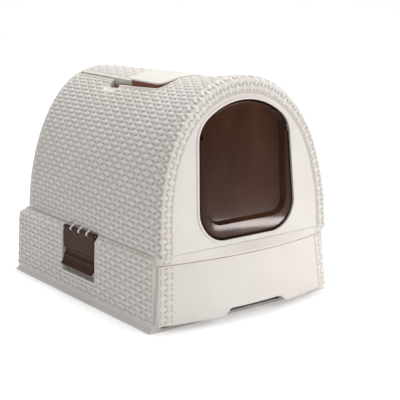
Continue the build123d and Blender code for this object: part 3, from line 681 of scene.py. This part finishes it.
def even_curve(points: Points, step: float) -> tuple[Points, Points]:
    """Spaces points evenly along a line.

    Args:
        points: the line's points, in millimetres.
        step: distance wanted between points.

    Returns:
        The spaced points, and the distance of each along the line.
    """
    run = running_length(points)
    return respaced(points, run, max(int(round(run[-1] / step)) + 1, 3))


def respaced(points: Points, run: Points, count: int) -> tuple[Points, Points]:
    """Takes evenly spaced points off a line.

    Args:
        points: the line's points.
        run: distance of each along the line.
        count: how many points are wanted.

    Returns:
        The spaced points, and the distance of each along the line.
    """
    places = np.linspace(0.0, run[-1], count)
    return np.stack([np.interp(places, run, points[:, axis]) for axis in range(3)], axis=-1), places


def outward(points: Points, centre: Triple) -> Points:
    """Unit normals of a grid of places in metres, turned away from a centre in millimetres."""
    normals = grid_normals(points)
    middle = tuple(size // 2 for size in points.shape[:2])
    away = points[middle] - np.array(centre) * MM
    return normals if float(np.dot(away, normals[middle])) > 0 else -normals


def under_top(height: Points, places: Points, top_z: float) -> Points:
    """Keeps a relief under a level.

    Args:
        height: relief in millimetres.
        places: where it stands, in metres.
        top_z: the level, in millimetres.

    Returns:
        The limited relief.
    """
    return np.minimum(height, np.maximum(top_z - places[..., 2] / MM, 0.0))


@dataclass
class HoodWeave:
    """Woven relief over the hood's arch and its back wall."""

    material: bpy.types.Material
    form: HoodForm = field(default_factory=HoodForm)
    weave: Weave = field(default_factory=Weave)
    step_across: float = 1.6
    step_along: float = 1.15
    samples: int = 1600
    foot_gap: float = 0.2
    over: float = 0.15
    back_over: float = 0.1
    top_z: float = 395.0
    well_half: float = 66.5
    well_front: float = -93.0
    well_rear: float = 74.0
    lid_front_half: float = 58.5
    lid_rear_half: float = 46.5
    lid_front_y: float = 10.5
    lid_rear_y: float = 215.0
    well_margin: float = 3.8
    scallop_x: float = 71.0
    scallop_y: float = 59.0
    scallop_radius: float = 14.0
    scallop_half: float = 12.0
    scallop_lift: float = 10.0
    tangent_step: float = 0.02
    centre: Triple = (0.0, 0.0, 150.0)
    front_fade: Span = (-0.6, 0.8)
    rear_fade: Span = (-1.0, 1.0)
    rim_fade: Span = (0.4, 1.6)
    well_fade: Span = (0.0, 1.4)
    scallop_fade: Span = (0.6, 2.0)
    back_edge_fade: Span = (0.0, 1.4)
    back_rim_fade: Span = (0.6, 2.0)

    def grid(self) -> tuple[Points, Points, Points]:
        """Grid over the arch.

        Returns:
            Places in millimetres, and the pattern's two coordinates: the station, and the way from the
            nearer foot.
        """
        stations = np.arange(self.form.face_y + 2.0, self.form.rear_y - 1.0, self.step_across)
        fine = np.linspace(0.0, np.pi, self.samples)
        count = 0
        lines, along = [], []
        for y in stations:
            section = self.form.section(float(y), fine)
            section = section[section[:, 2] >= self.form.rim_z + self.foot_gap]
            run = running_length(section)
            count = count or int(run[-1] / self.step_along)
            line, places = respaced(section, run, count)
            lines.append(line)
            along.append(np.minimum(places, run[-1] - places))
        across = stations[:, None].repeat(count, axis=1)
        return np.array(lines), across, np.array(along)

    def well_distance(self, x: Points, y: Points) -> Points:
        """Distance outside the outline of the well, in plan."""
        wide = frame_distance(np.abs(x) - self.well_half, np.maximum(self.well_front - y, y - self.well_rear))
        share = np.clip((y - self.lid_front_y) / (self.lid_rear_y - self.lid_front_y), 0.0, 1.0)
        half = self.lid_front_half + (self.lid_rear_half - self.lid_front_half) * share
        narrow = frame_distance(np.abs(x) - half, np.maximum(y - self.lid_rear_y, self.lid_front_y - y))
        return np.minimum(wide, narrow)

    def scallop_distance(self, points: Points) -> Points:
        """Distance from the axis of the nearer finger dish."""
        y = self.scallop_y
        turn = math.acos(self.scallop_x / float(self.form.half(y)))
        foot = self.form.section(y, np.array([math.pi - turn, math.pi - turn - self.tangent_step]))
        tangent = foot[1] - foot[0]
        slope = math.atan2(tangent[2], -tangent[0]) if tangent[0] < 0 else math.atan2(-tangent[2], tangent[0])
        x = self.scallop_x + self.scallop_lift * math.sin(abs(slope))
        z = float(foot[0][2]) + self.scallop_lift * math.cos(slope)
        dy = np.maximum(np.abs(points[..., 1] - y) - self.scallop_half, 0.0)
        return np.sqrt((np.abs(points[..., 0]) - x) ** 2 + dy ** 2 + (points[..., 2] - z) ** 2)

    def keep(self, points: Points) -> Points:
        """Share of the relief that is left at each place."""
        x, y, z = points[..., 0], points[..., 1], points[..., 2]
        front = y - (self.form.face_station(x, z) + self.form.front_radius)
        kept = fade_in(front, 0.0, self.front_fade)
        kept = kept * fade_in(self.form.rear_y - self.form.rear_radius - y, 0.0, self.rear_fade)
        kept = kept * fade_in(z, self.form.rim_z, self.rim_fade)
        kept = kept * fade_in(self.well_distance(x, y), self.well_margin, self.well_fade)
        return kept * fade_in(self.scallop_distance(points), self.scallop_radius, self.scallop_fade)

    def build(self) -> None:
        """Makes the arch's sheet and the back wall's sheet."""
        points, across, along = self.grid()
        keep = self.keep(points)
        places = points * MM
        normals = outward(places, self.centre)
        places = Drape("hood_shell").laid(places, normals, self.over)
        height = under_top(self.weave.height(across, along), places, self.top_z)
        Skin("hood_weave", Body.HOOD, self.material).build(places, normals, height, keep)
        self.build_back()

    def build_back(self) -> None:
        """Makes the sheet on the back wall."""
        form = self.form
        x = np.arange(-form.rear_half, form.rear_half, self.step_across)
        z = np.arange(form.rim_z, form.rear_crown, self.step_along)
        across, along = np.meshgrid(x, z, indexing="ij")
        rise = form.rear_crown - form.spring_z
        level = ((along - form.spring_z) / rise) ** form.rear_power
        reach = form.rear_half * dome(1 - level) - np.abs(across)
        share = np.clip(1 - (across / form.rear_half) ** 2, 0, 1)
        high = form.spring_z + rise * share ** (1 / form.rear_power) - along
        inside = reach * high / np.maximum(np.hypot(reach, high), TINY)
        inside = np.where((reach > 0) & (high > 0), inside, -1.0)
        keep = fade_in(inside, form.rear_radius, self.back_edge_fade)
        keep = keep * fade_in(along, form.rim_z, self.back_rim_fade)
        station = np.full_like(across, form.rear_y + self.back_over)
        points = np.stack([across, station, along], axis=-1) * MM
        normals = np.broadcast_to(np.array([0.0, 1.0, 0.0]), points.shape)
        height = self.weave.height(across, along - form.rim_z)
        Skin("hood_back_weave", Body.HOOD, self.material).build(points, normals, height, keep)


@dataclass
class BandSkin:
    """Border plait round the hood's front edge."""

    material: bpy.types.Material
    form: HoodForm = field(default_factory=HoodForm)
    weave: BandWeave = field(default_factory=BandWeave)
    step: float = 1.0
    samples: int = 4000
    columns: float = 2.5
    widest: float = 38.0
    over: float = 0.15
    foot_gap: float = 0.2
    border: float = 3.4
    border_rise: float = 0.9
    pit_place: float = 0.42
    pit_floor: float = 0.6
    pit_pitch: float = 4.63
    pit_radius: float = 1.25
    overlap: float = 0.4
    top_z: float = 395.6
    centre: Triple = (0.0, 0.0, 200.0)
    ray_spacing: int = 5
    outline_rounds: int = 4
    width_bracket: Span = (2.0, 80.0)
    width_halvings: int = 40
    outer_fade: Span = (0.0, 1.2)
    inner_fade: Span = (0.0, 0.8)
    rim_fade: Span = (0.4, 1.2)

    def outline(self) -> tuple[Points, Points]:
        """Silhouette of the front, spaced evenly, and its inward direction in the front view."""
        turn = np.linspace(0.0, np.pi, self.samples)
        form = self.form
        y = np.full_like(turn, form.face_y)
        for _ in range(self.outline_rounds):
            sine = np.maximum(np.sin(turn), 0.0)
            x = -form.half(y) * np.cos(turn)
            z = form.spring_z + (form.crown(y) - form.spring_z) * sine ** (2 / form.power(y))
            y = form.face_station(x, z) + form.front_radius
        line = np.stack([x, y, z], axis=-1)
        spaced, _ = even_curve(line[line[:, 2] >= form.rim_z + self.foot_gap], self.step)
        tangent = np.gradient(spaced[:, [0, 2]], axis=0)
        tangent /= np.linalg.norm(tangent, axis=1, keepdims=True)
        inward = np.stack([tangent[:, 1], -tangent[:, 0]], axis=-1)
        return spaced, inward

    def width(self, line: Points, inward: Points) -> Points:
        """Distance from the silhouette to the panel's edge at each place."""
        form = self.form
        half = form.front_half - form.band_foot
        rise = form.front_crown - form.band_crown - form.spring_z
        low, high = (np.full(len(line), end) for end in self.width_bracket)
        for _ in range(self.width_halvings):
            middle = (low + high) / 2
            x = line[:, 0] + inward[:, 0] * middle
            z = line[:, 2] + inward[:, 1] * middle
            value = (np.abs(x) / half) ** 2 + (np.maximum(z - form.spring_z, 0) / rise) ** form.band_power
            inside = value < 1.0
            high = np.where(inside, middle, high)
            low = np.where(inside, low, middle)
        return (low + high) / 2

    def build(self) -> None:
        """Makes the band's sheet."""
        form = self.form
        line, inward = self.outline()
        width = self.width(line, inward)
        radius = form.front_radius
        quarter = radius * math.pi / 2
        total = width - radius + quarter
        lines = int(self.widest / self.step)
        reach = total[:, None] * np.linspace(0.0, 1.0, lines)[None, :]
        arc = np.clip(reach / radius, 0.0, math.pi / 2)
        depth = radius * (1 - np.sin(arc))
        inset = np.where(reach < quarter, radius * (1 - np.cos(arc)), reach - quarter + radius)
        x = line[:, 0:1] + inward[:, 0:1] * inset
        z = line[:, 2:3] + inward[:, 1:2] * inset
        y = form.face_station(x, z) + depth
        points = np.stack([x, y, z], axis=-1) * MM
        normals = outward(points, self.centre)
        points = Drape("hood_shell").laid(points, normals, self.over, self.ray_spacing)
        run = running_length(line)
        rows = round(run[-1] / (2 * self.weave.row)) * 2
        along = (run / run[-1] * rows * self.weave.row)[:, None].repeat(lines, axis=1)
        plaited = self.columns * self.weave.column
        across = reach * ((plaited + self.border) / total)[:, None]
        height = under_top(self.height(across, along, plaited), points, self.top_z)
        keep = fade_in(reach, 0.0, self.outer_fade) * fade_in(total[:, None] - reach, 0.0, self.inner_fade)
        keep = keep * fade_in(z, form.rim_z, self.rim_fade)
        Skin("hood_border_weave", Body.HOOD, self.material).build(points, normals, height, keep)

    def height(self, across: Points, along: Points, plaited: float) -> Points:
        """Plait, then a flat border with a row of small pits."""
        plait = self.weave.height(across + 0.5 * self.weave.column, along)
        middle = plaited + self.border * self.pit_place
        place = (along / self.pit_pitch - np.round(along / self.pit_pitch)) * self.pit_pitch
        pit = np.hypot(place, across - middle)
        border = self.border_rise * smooth_share(pit, self.pit_radius * self.pit_floor, self.pit_radius)
        return np.where(across > plaited - self.overlap, border, plait)


@dataclass
class BaseWeave:
    """Woven relief round the lower casing's walls and shoulder."""

    material: bpy.types.Material
    form: HoodForm = field(default_factory=HoodForm)
    weave: Weave = field(default_factory=lambda: Weave(row=8.5))
    step_across: float = 1.7
    step_along: float = 1.1
    side_length: float = 480.0
    back_length: float = 340.0
    corner_points: int = 16
    shoulder_rings: int = 16
    shoulder_lap: float = 1.5
    over: float = 0.1
    skirt_top: float = 10.0
    wall_top: float = 113.0
    rim: float = 123.7
    foot_half: float = 186.0
    top_half: float = 181.0
    foot_back: float = 256.5
    top_back: float = 251.5
    front_y: float = -227.0
    corner: float = 18.0
    pocket_y: float = 7.0
    pocket_half: float = 60.5
    pocket_bottom: float = 36.5
    centre: Triple = (0.0, 0.0, 60.0)
    skirt_fade: Span = (0.6, 2.0)
    rim_fade: Span = (0.2, 1.0)
    front_fade: Span = (1.2, 2.6)
    pocket_fade: Span = (0.4, 1.6)

    @staticmethod
    def plan(half_front: float, half_rear: float, back: float, front: float, radius: float,
             counts: tuple[int, int, int]) -> Points:
        """Points round the plan from the right front corner to the left one.

        Args:
            half_front: half width at the front.
            half_rear: half width at the back.
            back: station of the back wall.
            front: station of the front ends.
            radius: of the back corners.
            counts: points on a side, on a corner and on the back.

        Returns:
            The points, two columns.
        """
        side_end = np.array([half_rear, back])
        side_start = np.array([half_front, front])
        along = (side_end - side_start) / np.linalg.norm(side_end - side_start)
        turn = math.acos(float(np.clip(along[1], -1, 1)))
        trim = radius * math.tan((math.pi / 2 + (turn if half_front > half_rear else -turn)) / 2)
        start = side_end - along * trim
        end = side_end - np.array([trim, 0.0])
        outward_side = np.array([along[1], -along[0]])
        centre = start - outward_side * radius
        first = math.atan2(start[1] - centre[1], start[0] - centre[0])
        last = math.atan2(end[1] - centre[1], end[0] - centre[0])
        side = np.linspace(side_start, start, counts[0])[:-1]
        angles = np.linspace(first, last, counts[1])
        arc = centre + radius * np.stack([np.cos(angles), np.sin(angles)], axis=-1)
        back_line = np.linspace(end, end * np.array([-1.0, 1.0]), counts[2])[1:-1]
        right = np.concatenate([side, arc])
        left = right[::-1] * np.array([-1.0, 1.0])
        return np.concatenate([right, back_line, left])

    def build(self) -> None:
        """Makes the base's sheet."""
        counts = (int(self.side_length / self.step_across), self.corner_points,
                  int(self.back_length / self.step_across))
        rear_half = self.form.rear_half + self.shoulder_lap
        front_half = float(self.form.half(self.front_y)) + self.shoulder_lap / 2
        foot = self.plan(self.foot_half, self.foot_half, self.foot_back, self.front_y, self.corner, counts)
        top = self.plan(self.top_half, self.top_half, self.top_back, self.front_y, self.corner, counts)
        rim = self.plan(front_half, rear_half, self.form.rear_y + self.shoulder_lap, self.front_y,
                        self.form.rear_radius + self.shoulder_lap, counts)
        wall = np.linspace(0, 1, int((self.wall_top - self.skirt_top) / self.step_along))
        shoulder = np.linspace(0, 1, self.shoulder_rings)[1:]
        rings = []
        for low_z, low, high_z, high, shares in (
            (self.skirt_top, foot, self.wall_top, top, wall),
            (self.wall_top, top, self.rim, rim, shoulder),
        ):
            for part in shares:
                ring = low + (high - low) * part
                level = np.full((len(ring), 1), low_z + (high_z - low_z) * part)
                rings.append(np.concatenate([ring, level], axis=1))
        points = np.array(rings)
        across = running_length(points[len(points) // 2])[None, :].repeat(len(points), axis=0)
        climb = np.linalg.norm(np.diff(points, axis=0), axis=2)
        along = np.concatenate([np.zeros((1, points.shape[1])), np.cumsum(climb, axis=0)])
        places = points * MM
        normals = outward(places, self.centre)
        keep = self.keep(points)
        places = places + normals * (self.over * MM)
        height = self.weave.height(across, along)
        Skin("base_weave", Body.BASE, self.material).build(places, normals, height, keep)

    def keep(self, points: Points) -> Points:
        """Share of the relief that is left at each place."""
        x, y, z = points[..., 0], points[..., 1], points[..., 2]
        kept = fade_in(z, self.skirt_top, self.skirt_fade)
        kept = kept * fade_in(self.rim - z, 0.0, self.rim_fade)
        kept = kept * fade_in(y - self.front_y, 0.0, self.front_fade)
        dy = np.abs(y - self.pocket_y) - self.pocket_half
        gap = np.maximum(dy, self.pocket_bottom - z)
        on_side = np.abs(x) > self.form.rear_half
        return kept * np.where(on_side, fade_in(gap, 0.0, self.pocket_fade), 1.0)


@dataclass
class FrontForm:
    """Sizes of the drawer's front and of the rail over it, in millimetres."""

    bow_y: float = -263.0
    bow: float = 24.0
    bow_half: float = 174.0
    lean: float = 4.8
    notch_top_z: float = 24.0
    bottom_z: float = 13.0
    top_z: float = 107.75
    bottom_half: float = 181.5
    top_half: float = 174.0
    rail_z: float = 109.25
    rail_turn_z: float = 112.25
    rim_z: float = 123.7

    def drawer_station(self, x: Points, z: Points) -> Points:
        """Station of the drawer's bowed face."""
        lean = math.radians(self.lean)
        bow = bow_depth(x, self.bow_half, self.bow)
        return self.bow_y + bow / math.cos(lean) + math.tan(lean) * (z - self.notch_top_z)

    def edge_half(self, z: Points) -> Points:
        """Half width of the drawer's front at a level."""
        share = (z - self.bottom_z) / (self.top_z - self.bottom_z)
        return self.bottom_half + (self.top_half - self.bottom_half) * share

    def rail_station(self, x: Points, z: Points, hood: HoodForm) -> Points:
        """Station of the rail's face: upright lip, then the slope up to the hood."""
        lean = math.tan(math.radians(self.lean)) * (self.rail_z - self.notch_top_z)
        low = self.bow_y + lean + bow_depth(x, self.bow_half, self.bow)
        high_foot = hood.face_y + math.tan(math.radians(hood.face_lean)) * (hood.rim_z - hood.spring_z)
        high = high_foot + bow_depth(x, hood.bow_half, hood.face_bow)
        share = np.clip((z - self.rail_turn_z) / (self.rim_z - self.rail_turn_z), 0.0, 1.0)
        return low + (high - low) * share


@dataclass
class FrontWeave:
    """Softer plait down the ends of the drawer's front and of the rail over it."""

    material: bpy.types.Material
    form: FrontForm = field(default_factory=FrontForm)
    hood: HoodForm = field(default_factory=HoodForm)
    weave: BandWeave = field(
        default_factory=lambda: BandWeave(column=10.4, strand_length=14.4, rise=1.15, stake_rise=0.75)
    )
    width: float = 23.0
    step: float = 0.9
    inner_half: float = 154.0
    edge_gap: float = 0.8
    rail_lap: float = 3.2
    sunk: float = 0.08
    border: float = 2.2
    border_rise: float = 0.6
    pit_pitch: float = 4.6
    pit_place: float = 1.0
    pit_slope: Span = (0.5, 0.95)
    centre: Triple = (0.0, 0.0, 60.0)
    edge_fade: Span = (0.0, 1.0)
    top_fade: Span = (0.4, 1.4)
    foot_gap: float = 0.8
    seam_gap: float = 0.3

    def sheet(self, name: str, body: Body, side: int, low_z: float, high_z: float) -> None:
        """Makes one strip.

        Args:
            name: the piece's name.
            body: what it rides on.
            side: 1 on the right, -1 on the left.
            low_z: lower end, in millimetres.
            high_z: upper end.
        """
        levels = np.arange(low_z, high_z, self.step)
        shares = np.linspace(0.0, 1.0, int(self.width / self.step) + 2)
        share, z = np.meshgrid(shares, levels, indexing="ij")
        on_drawer = body is Body.DRAWER
        rail_half = self.form.bow_half + self.rail_lap
        edge = self.form.edge_half(z) - self.edge_gap if on_drawer else np.full_like(z, rail_half)
        reach = share * (self.width if on_drawer else rail_half - self.inner_half)
        x = edge - reach
        y = self.form.drawer_station(x, z) if on_drawer else self.form.rail_station(x, z, self.hood)
        points = np.stack([side * x, y - self.sunk, z], axis=-1) * MM
        normals = outward(points, self.centre)
        total = float(reach.max())
        keep = fade_in(reach, 0.0, self.edge_fade) * fade_in(total - reach, 0.0, self.edge_fade)
        keep = keep * fade_in(z - low_z, 0.0, self.edge_fade) * fade_in(high_z - z, 0.0, self.top_fade)
        across = reach / total * (2 * self.weave.column + self.border)
        height = self.weave.height(across, self.hood.spring_z - z)
        height = np.where(across > 2 * self.weave.column, self.pits(across, z), height)
        Skin(name, body, self.material).build(points, normals, height, keep)

    def pits(self, across: Points, z: Points) -> Points:
        """Flat inner border with its row of small pits."""
        place = (z / self.pit_pitch - np.round(z / self.pit_pitch)) * self.pit_pitch
        pit = np.hypot(place, across - 2 * self.weave.column - self.pit_place)
        return self.border_rise * smooth_share(pit, *self.pit_slope)

    def build(self) -> None:
        """Makes the four strips."""
        form = self.form
        drawer_levels = (form.bottom_z + self.foot_gap, form.top_z - self.seam_gap)
        rail_levels = (form.rail_z + self.seam_gap, form.rim_z)
        for side, word in ((1, "right"), (-1, "left")):
            self.sheet(f"drawer_weave_{word}", Body.DRAWER, side, *drawer_levels)
            self.sheet(f"rail_weave_{word}", Body.BASE, side, *rail_levels)


@dataclass
class SeamShadeStrip:
    """Thin tan strip of painted shade, standing in for the warm shadow in the open seam over the drawer's
    front.
    """

    form: FrontForm = field(default_factory=FrontForm)
    half: float = 170.0
    step: float = 2.0
    rise: float = 1.35
    sink: float = 0.25
    inset: float = 0.3
    depth: float = 5.0
    # painted shade: warm tan for the shadowed seam gap, warmed by light bounced off its cream walls
    colour: Colour = (0.46, 0.34, 0.17)
    shade: Colour = (0.34, 0.24, 0.11)
    mottle: float = 30.0
    rough: Span = (0.35, 0.5)
    rough_mottle: float = 120.0

    def build(self) -> None:
        """Makes the strip as a closed bar bent to the drawer's bow."""
        bench = NodeBench("tan_seam_painted_shade")
        bench.tint(self.mottle, self.colour, self.shade, self.rough, self.rough_mottle)
        x = np.arange(-self.half, self.half + self.step, self.step)
        low, high = self.form.top_z - self.sink, self.form.top_z + self.rise
        front = self.form.drawer_station(x, np.full_like(x, self.form.top_z)) + self.inset
        ring = [(front, low), (front, high), (front + self.depth, high), (front + self.depth, low)]
        lines = [np.stack([x, y, np.full_like(x, z)], axis=-1) for y, z in ring]
        vertices = np.stack(lines, axis=1).reshape(-1, 3) * MM
        faces = [(0, 1, 2, 3), tuple(4 * (len(x) - 1) + corner for corner in (3, 2, 1, 0))]
        for start in range(0, 4 * (len(x) - 1), 4):
            for corner in range(4):
                after = (corner + 1) % 4
                faces.append((start + corner, start + 4 + corner, start + 4 + after, start + after))
        # painted shade: a strip placed in the seam gap, where there is only shade
        mesh = bpy.data.meshes.new("drawer_seam_painted_shade")
        mesh.from_pydata([tuple(vertex) for vertex in vertices], [], faces)
        mesh.materials.append(bench.material)
        piece = bpy.data.objects.new("drawer_seam_painted_shade", mesh)
        bpy.context.scene.collection.objects.link(piece)
        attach(piece, Body.DRAWER.value)


@dataclass
class LidWeave:
    """Low woven relief on the lid over the filter."""

    material: bpy.types.Material
    form: HoodForm = field(default_factory=HoodForm)
    weave: Weave = field(default_factory=lambda: Weave(rise=1.1, stake_rise=0.45))
    rise: float = 4.0
    front_half: float = 57.0
    rear_half: float = 45.0
    front_y: float = 10.5
    rear_y: float = 211.0
    smooth_front: float = 26.0
    lap: float = 4.0
    border: float = 4.5
    step_over: float = 1.1
    step_along: float = 1.7
    rows_aside: int = 100
    over: float = 0.1
    top_z: float = 396.0
    centre: Triple = (0.0, 0.0, 100.0)
    ray_spacing: int = 6
    edge_fade: Span = (0.0, 1.4)

    def build(self) -> None:
        """Makes the lid's sheet."""
        form = self.form
        x_line = np.arange(-self.front_half, self.front_half, self.step_over)
        y_line = np.arange(self.smooth_front - self.lap, self.rear_y, self.step_along)
        y, x = np.meshgrid(y_line, x_line, indexing="ij")
        half = form.half(y) + self.rise
        sine = np.sqrt(1 - (x / half) ** 2)
        z = form.spring_z + (form.crown(y) + self.rise - form.spring_z) * sine ** (2 / form.power(y))
        points = np.stack([x, y, z], axis=-1) * MM
        normals = outward(points, self.centre)
        points = Drape("top_lid").laid(points, normals, self.over, self.ray_spacing)
        share = (y - self.front_y) / (self.rear_y - self.front_y)
        side = self.front_half + (self.rear_half - self.front_half) * share - np.abs(x)
        gap = np.minimum(np.minimum(side, self.rear_y - y) - self.border, y - self.smooth_front)
        keep = fade_in(gap, 0.0, self.edge_fade)
        height = under_top(self.weave.height(y, x + self.rows_aside * self.weave.row), points, self.top_z)
        Skin("lid_weave", Body.LID, self.material).build(points, normals, height, keep)


# ---------------------------------------------------------------- dressing and stage


@dataclass
class Dressing:
    """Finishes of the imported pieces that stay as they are."""

    cream: bpy.types.Material
    gloss: bpy.types.Material
    brown: bpy.types.Material
    # painted light: lighter copy of the satin brown, so the shadowed handle core reads as lit
    handle: bpy.types.Material
    pin: bpy.types.Material
    felt: bpy.types.Material

    def build(self) -> None:
        """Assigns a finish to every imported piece, by its slot in the record."""
        by_slot = {
            Slot.CREAM.value: self.cream,
            Slot.GLOSS_BROWN.value: self.gloss,
            Slot.BROWN.value: self.brown,
            Slot.PIN.value: self.pin,
            Slot.CHARCOAL.value: self.felt,
        }
        slots = {row["node"]: row["material_slot"] for row in frame["record"]["subparts"]}
        for name, piece in frame["nodes"].items():
            piece.data.materials.clear()
            piece.data.materials.append(self.handle if name == HANDLE_NODE else by_slot[slots[name]])
            self.soften(piece)
            LOG.info("%s dressed", name)

    @staticmethod
    def soften(piece: bpy.types.Object, angle: float = 32.0) -> None:
        """Smooth shading with crisp edges where faces meet at more than the angle."""
        for face in piece.data.polygons:
            face.use_smooth = True
        for edge in piece.data.edges:
            edge.use_edge_sharp = False
        piece.data.set_sharp_from_angle(angle=math.radians(angle))


@dataclass(frozen=True)
class Lamp:
    """Soft area lamp that looks at the box; sizes in metres, power in watts."""

    name: str
    place: Triple
    size: tuple[float, float]
    power: float
    colour: Colour = (1.0, 1.0, 1.0)
    aim: Triple = (0.0, 0.0, 0.18)

    def build(self) -> None:
        """Adds the lamp."""
        data = bpy.data.lights.new(self.name, "AREA")
        data.shape = "RECTANGLE"
        data.size, data.size_y = self.size
        data.energy = self.power
        data.color = self.colour
        lamp = bpy.data.objects.new(self.name, data)
        lamp.location = self.place
        lamp.rotation_mode = "QUATERNION"
        lamp.rotation_quaternion = (Vector(self.aim) - Vector(self.place)).to_track_quat("-Z", "Y")
        bpy.context.scene.collection.objects.link(lamp)


@dataclass
class Studio:
    """Pale floor, soft lamps, camera at the photograph's angle."""

    azimuth: float = -34.932
    elevation: float = 10.536
    roll: float = -1.17
    distance: float = 1.6808
    focal_pixels: float = 912.16
    centre_x: float = 166.16
    centre_y: float = 175.58
    target: Triple = (0.0, -0.007, 0.2)
    frame_pixels: float = 400.0
    sensor: float = 36.0
    lamps: tuple[Lamp, ...] = (
        Lamp("key_lamp", (1.6, -2.4, 2.2), (1.6, 1.6), 47.0, (1.0, 0.985, 0.97)),
        Lamp("fill_lamp", (-2.6, -1.2, 1.6), (1.8, 1.8), 1.0, (0.98, 0.99, 1.0)),
        Lamp("top_lamp", (0.35, 0.3, 2.8), (1.2, 1.2), 50.0),
        Lamp("streak_lamp", (0.476, -0.81, 0.027), (0.18, 0.018), 0.6, (1.0, 0.93, 0.93)),
    )
    floor_reach: float = 14.0
    floor_colours: tuple[Colour, Colour] = ((0.90, 0.90, 0.90), (0.93, 0.93, 0.93))
    floor_mottle: float = 0.7
    floor_rough: float = 0.9
    floor_glow: Span = (0.30, 1.0)
    glow_span: Span = (0.55, 1.9)
    sky: Span = (0.46, 1.0)

    def camera(self) -> None:
        """Places the camera."""
        azimuth, elevation = math.radians(self.azimuth), math.radians(self.elevation)
        back = Vector((math.sin(azimuth) * math.cos(elevation), -math.cos(azimuth) * math.cos(elevation),
                       math.sin(elevation)))
        right = (-back).cross(Vector((0, 0, 1))).normalized()
        up = right.cross(-back)
        turn = math.radians(self.roll)
        cosine, sine = math.cos(turn), math.sin(turn)
        right, up = right * cosine + up * sine, up * cosine - right * sine
        data = bpy.data.cameras.new("photo_camera")
        data.sensor_width = self.sensor
        data.lens = self.focal_pixels * self.sensor / self.frame_pixels
        data.shift_x = (self.frame_pixels / 2 - self.centre_x) / self.frame_pixels
        data.shift_y = (self.centre_y - self.frame_pixels / 2) / self.frame_pixels
        camera = bpy.data.objects.new("photo_camera", data)
        bpy.context.scene.collection.objects.link(camera)
        rotation = Matrix((right, up, back)).transposed().to_4x4()
        camera.matrix_world = Matrix.Translation(Vector(self.target) + back * self.distance) @ rotation
        bpy.context.scene.camera = camera

    def floor(self) -> None:
        """Adds the pale floor, which the camera sees as white but for the object's shadow."""
        mesh = bpy.data.meshes.new("studio_floor")
        reach = self.floor_reach
        corners = [(-reach, -reach, 0), (reach, -reach, 0), (reach, reach, 0), (-reach, reach, 0)]
        mesh.from_pydata(corners, [], [(0, 1, 2, 3)])
        bench = NodeBench("studio_floor_paint")
        paint = bench.blend(bench.spread(bench.noise(self.floor_mottle), 0.0, 1.0), *self.floor_colours)
        bench.link(paint, bench.shader.inputs["Base Color"])
        bench.level(Roughness=self.floor_rough)
        path = bench.add("LightPath")
        glow = bench.add("Emission")
        glow.inputs["Color"].default_value = (1.0, 1.0, 1.0, 1.0)
        join = bench.add("AddShader")
        share = bench.add("Math", operation="MULTIPLY")
        coords = bench.add("TexCoord")
        away = bench.add("VectorMath", operation="LENGTH")
        bench.link(coords.outputs["Object"], away.inputs[0])
        glow_share = bench.spread(away.outputs["Value"], *self.floor_glow, *self.glow_span)
        bench.link(glow_share, share.inputs[1])
        bench.link(path.outputs["Is Camera Ray"], share.inputs[0])
        bench.link(share.outputs[0], glow.inputs["Strength"])
        output = bench.tree.nodes["Material Output"]
        bench.link(bench.shader.outputs[0], join.inputs[0])
        bench.link(glow.outputs[0], join.inputs[1])
        bench.link(join.outputs[0], output.inputs["Surface"])
        mesh.materials.append(bench.material)
        floor = bpy.data.objects.new("studio_floor", mesh)
        bpy.context.scene.collection.objects.link(floor)

    def world(self) -> None:
        """Soft white surroundings, full white to the camera."""
        world = bpy.data.worlds.new("studio_world")
        world.use_nodes = True
        tree = world.node_tree
        background = tree.nodes["Background"]
        path = tree.nodes.new("ShaderNodeLightPath")
        strength = tree.nodes.new("ShaderNodeMapRange")
        strength.inputs[3].default_value, strength.inputs[4].default_value = self.sky
        tree.links.new(path.outputs["Is Camera Ray"], strength.inputs[0])
        tree.links.new(strength.outputs[0], background.inputs["Strength"])
        background.inputs["Color"].default_value = (1.0, 1.0, 1.0, 1.0)
        bpy.context.scene.world = world

    def build(self) -> None:
        """Sets up the whole studio."""
        self.camera()
        self.floor()
        self.world()
        for lamp in self.lamps:
            lamp.build()
        bpy.context.scene.view_settings.view_transform = "Standard"


def main() -> None:
    """Builds the litter box's looks and its studio."""
    logging.basicConfig(level=logging.INFO, format="%(name)s: %(message)s")
    cream = CreamFinish().make()
    relief_with_painted_shade = CreamFinish(name="cream_woven_relief_painted_shade", relief_with_painted_shade=True).make()
    dressing = Dressing(
        cream=cream,
        gloss=BrownFinish("brown_gloss_plastic", dark=(0.026, 0.0075, 0.0025), light=(0.062, 0.024, 0.012),
                          rough=(0.20, 0.28), coat=0.2, specular=0.05).make(),
        brown=BrownFinish("brown_satin_plastic").make(),
        # painted light: the handle core's brown is lightened to stand in for light its shadow keeps off it
        handle=BrownFinish("brown_handle_plastic_painted_light", dark=(0.15, 0.055, 0.036),
                           light=(0.22, 0.088, 0.060)).make(),
        pin=PinFinish().make(),
        felt=FeltFinish().make(),
    )
    dressing.build()
    HoodWeave(relief_with_painted_shade).build()
    BandSkin(relief_with_painted_shade).build()
    BaseWeave(relief_with_painted_shade).build()
    FrontWeave(relief_with_painted_shade).build()
    # painted shade strip in the drawer's top seam
    SeamShadeStrip().build()
    LidWeave(relief_with_painted_shade).build()
    Studio().build()


if __name__ == "__main__":
    main()
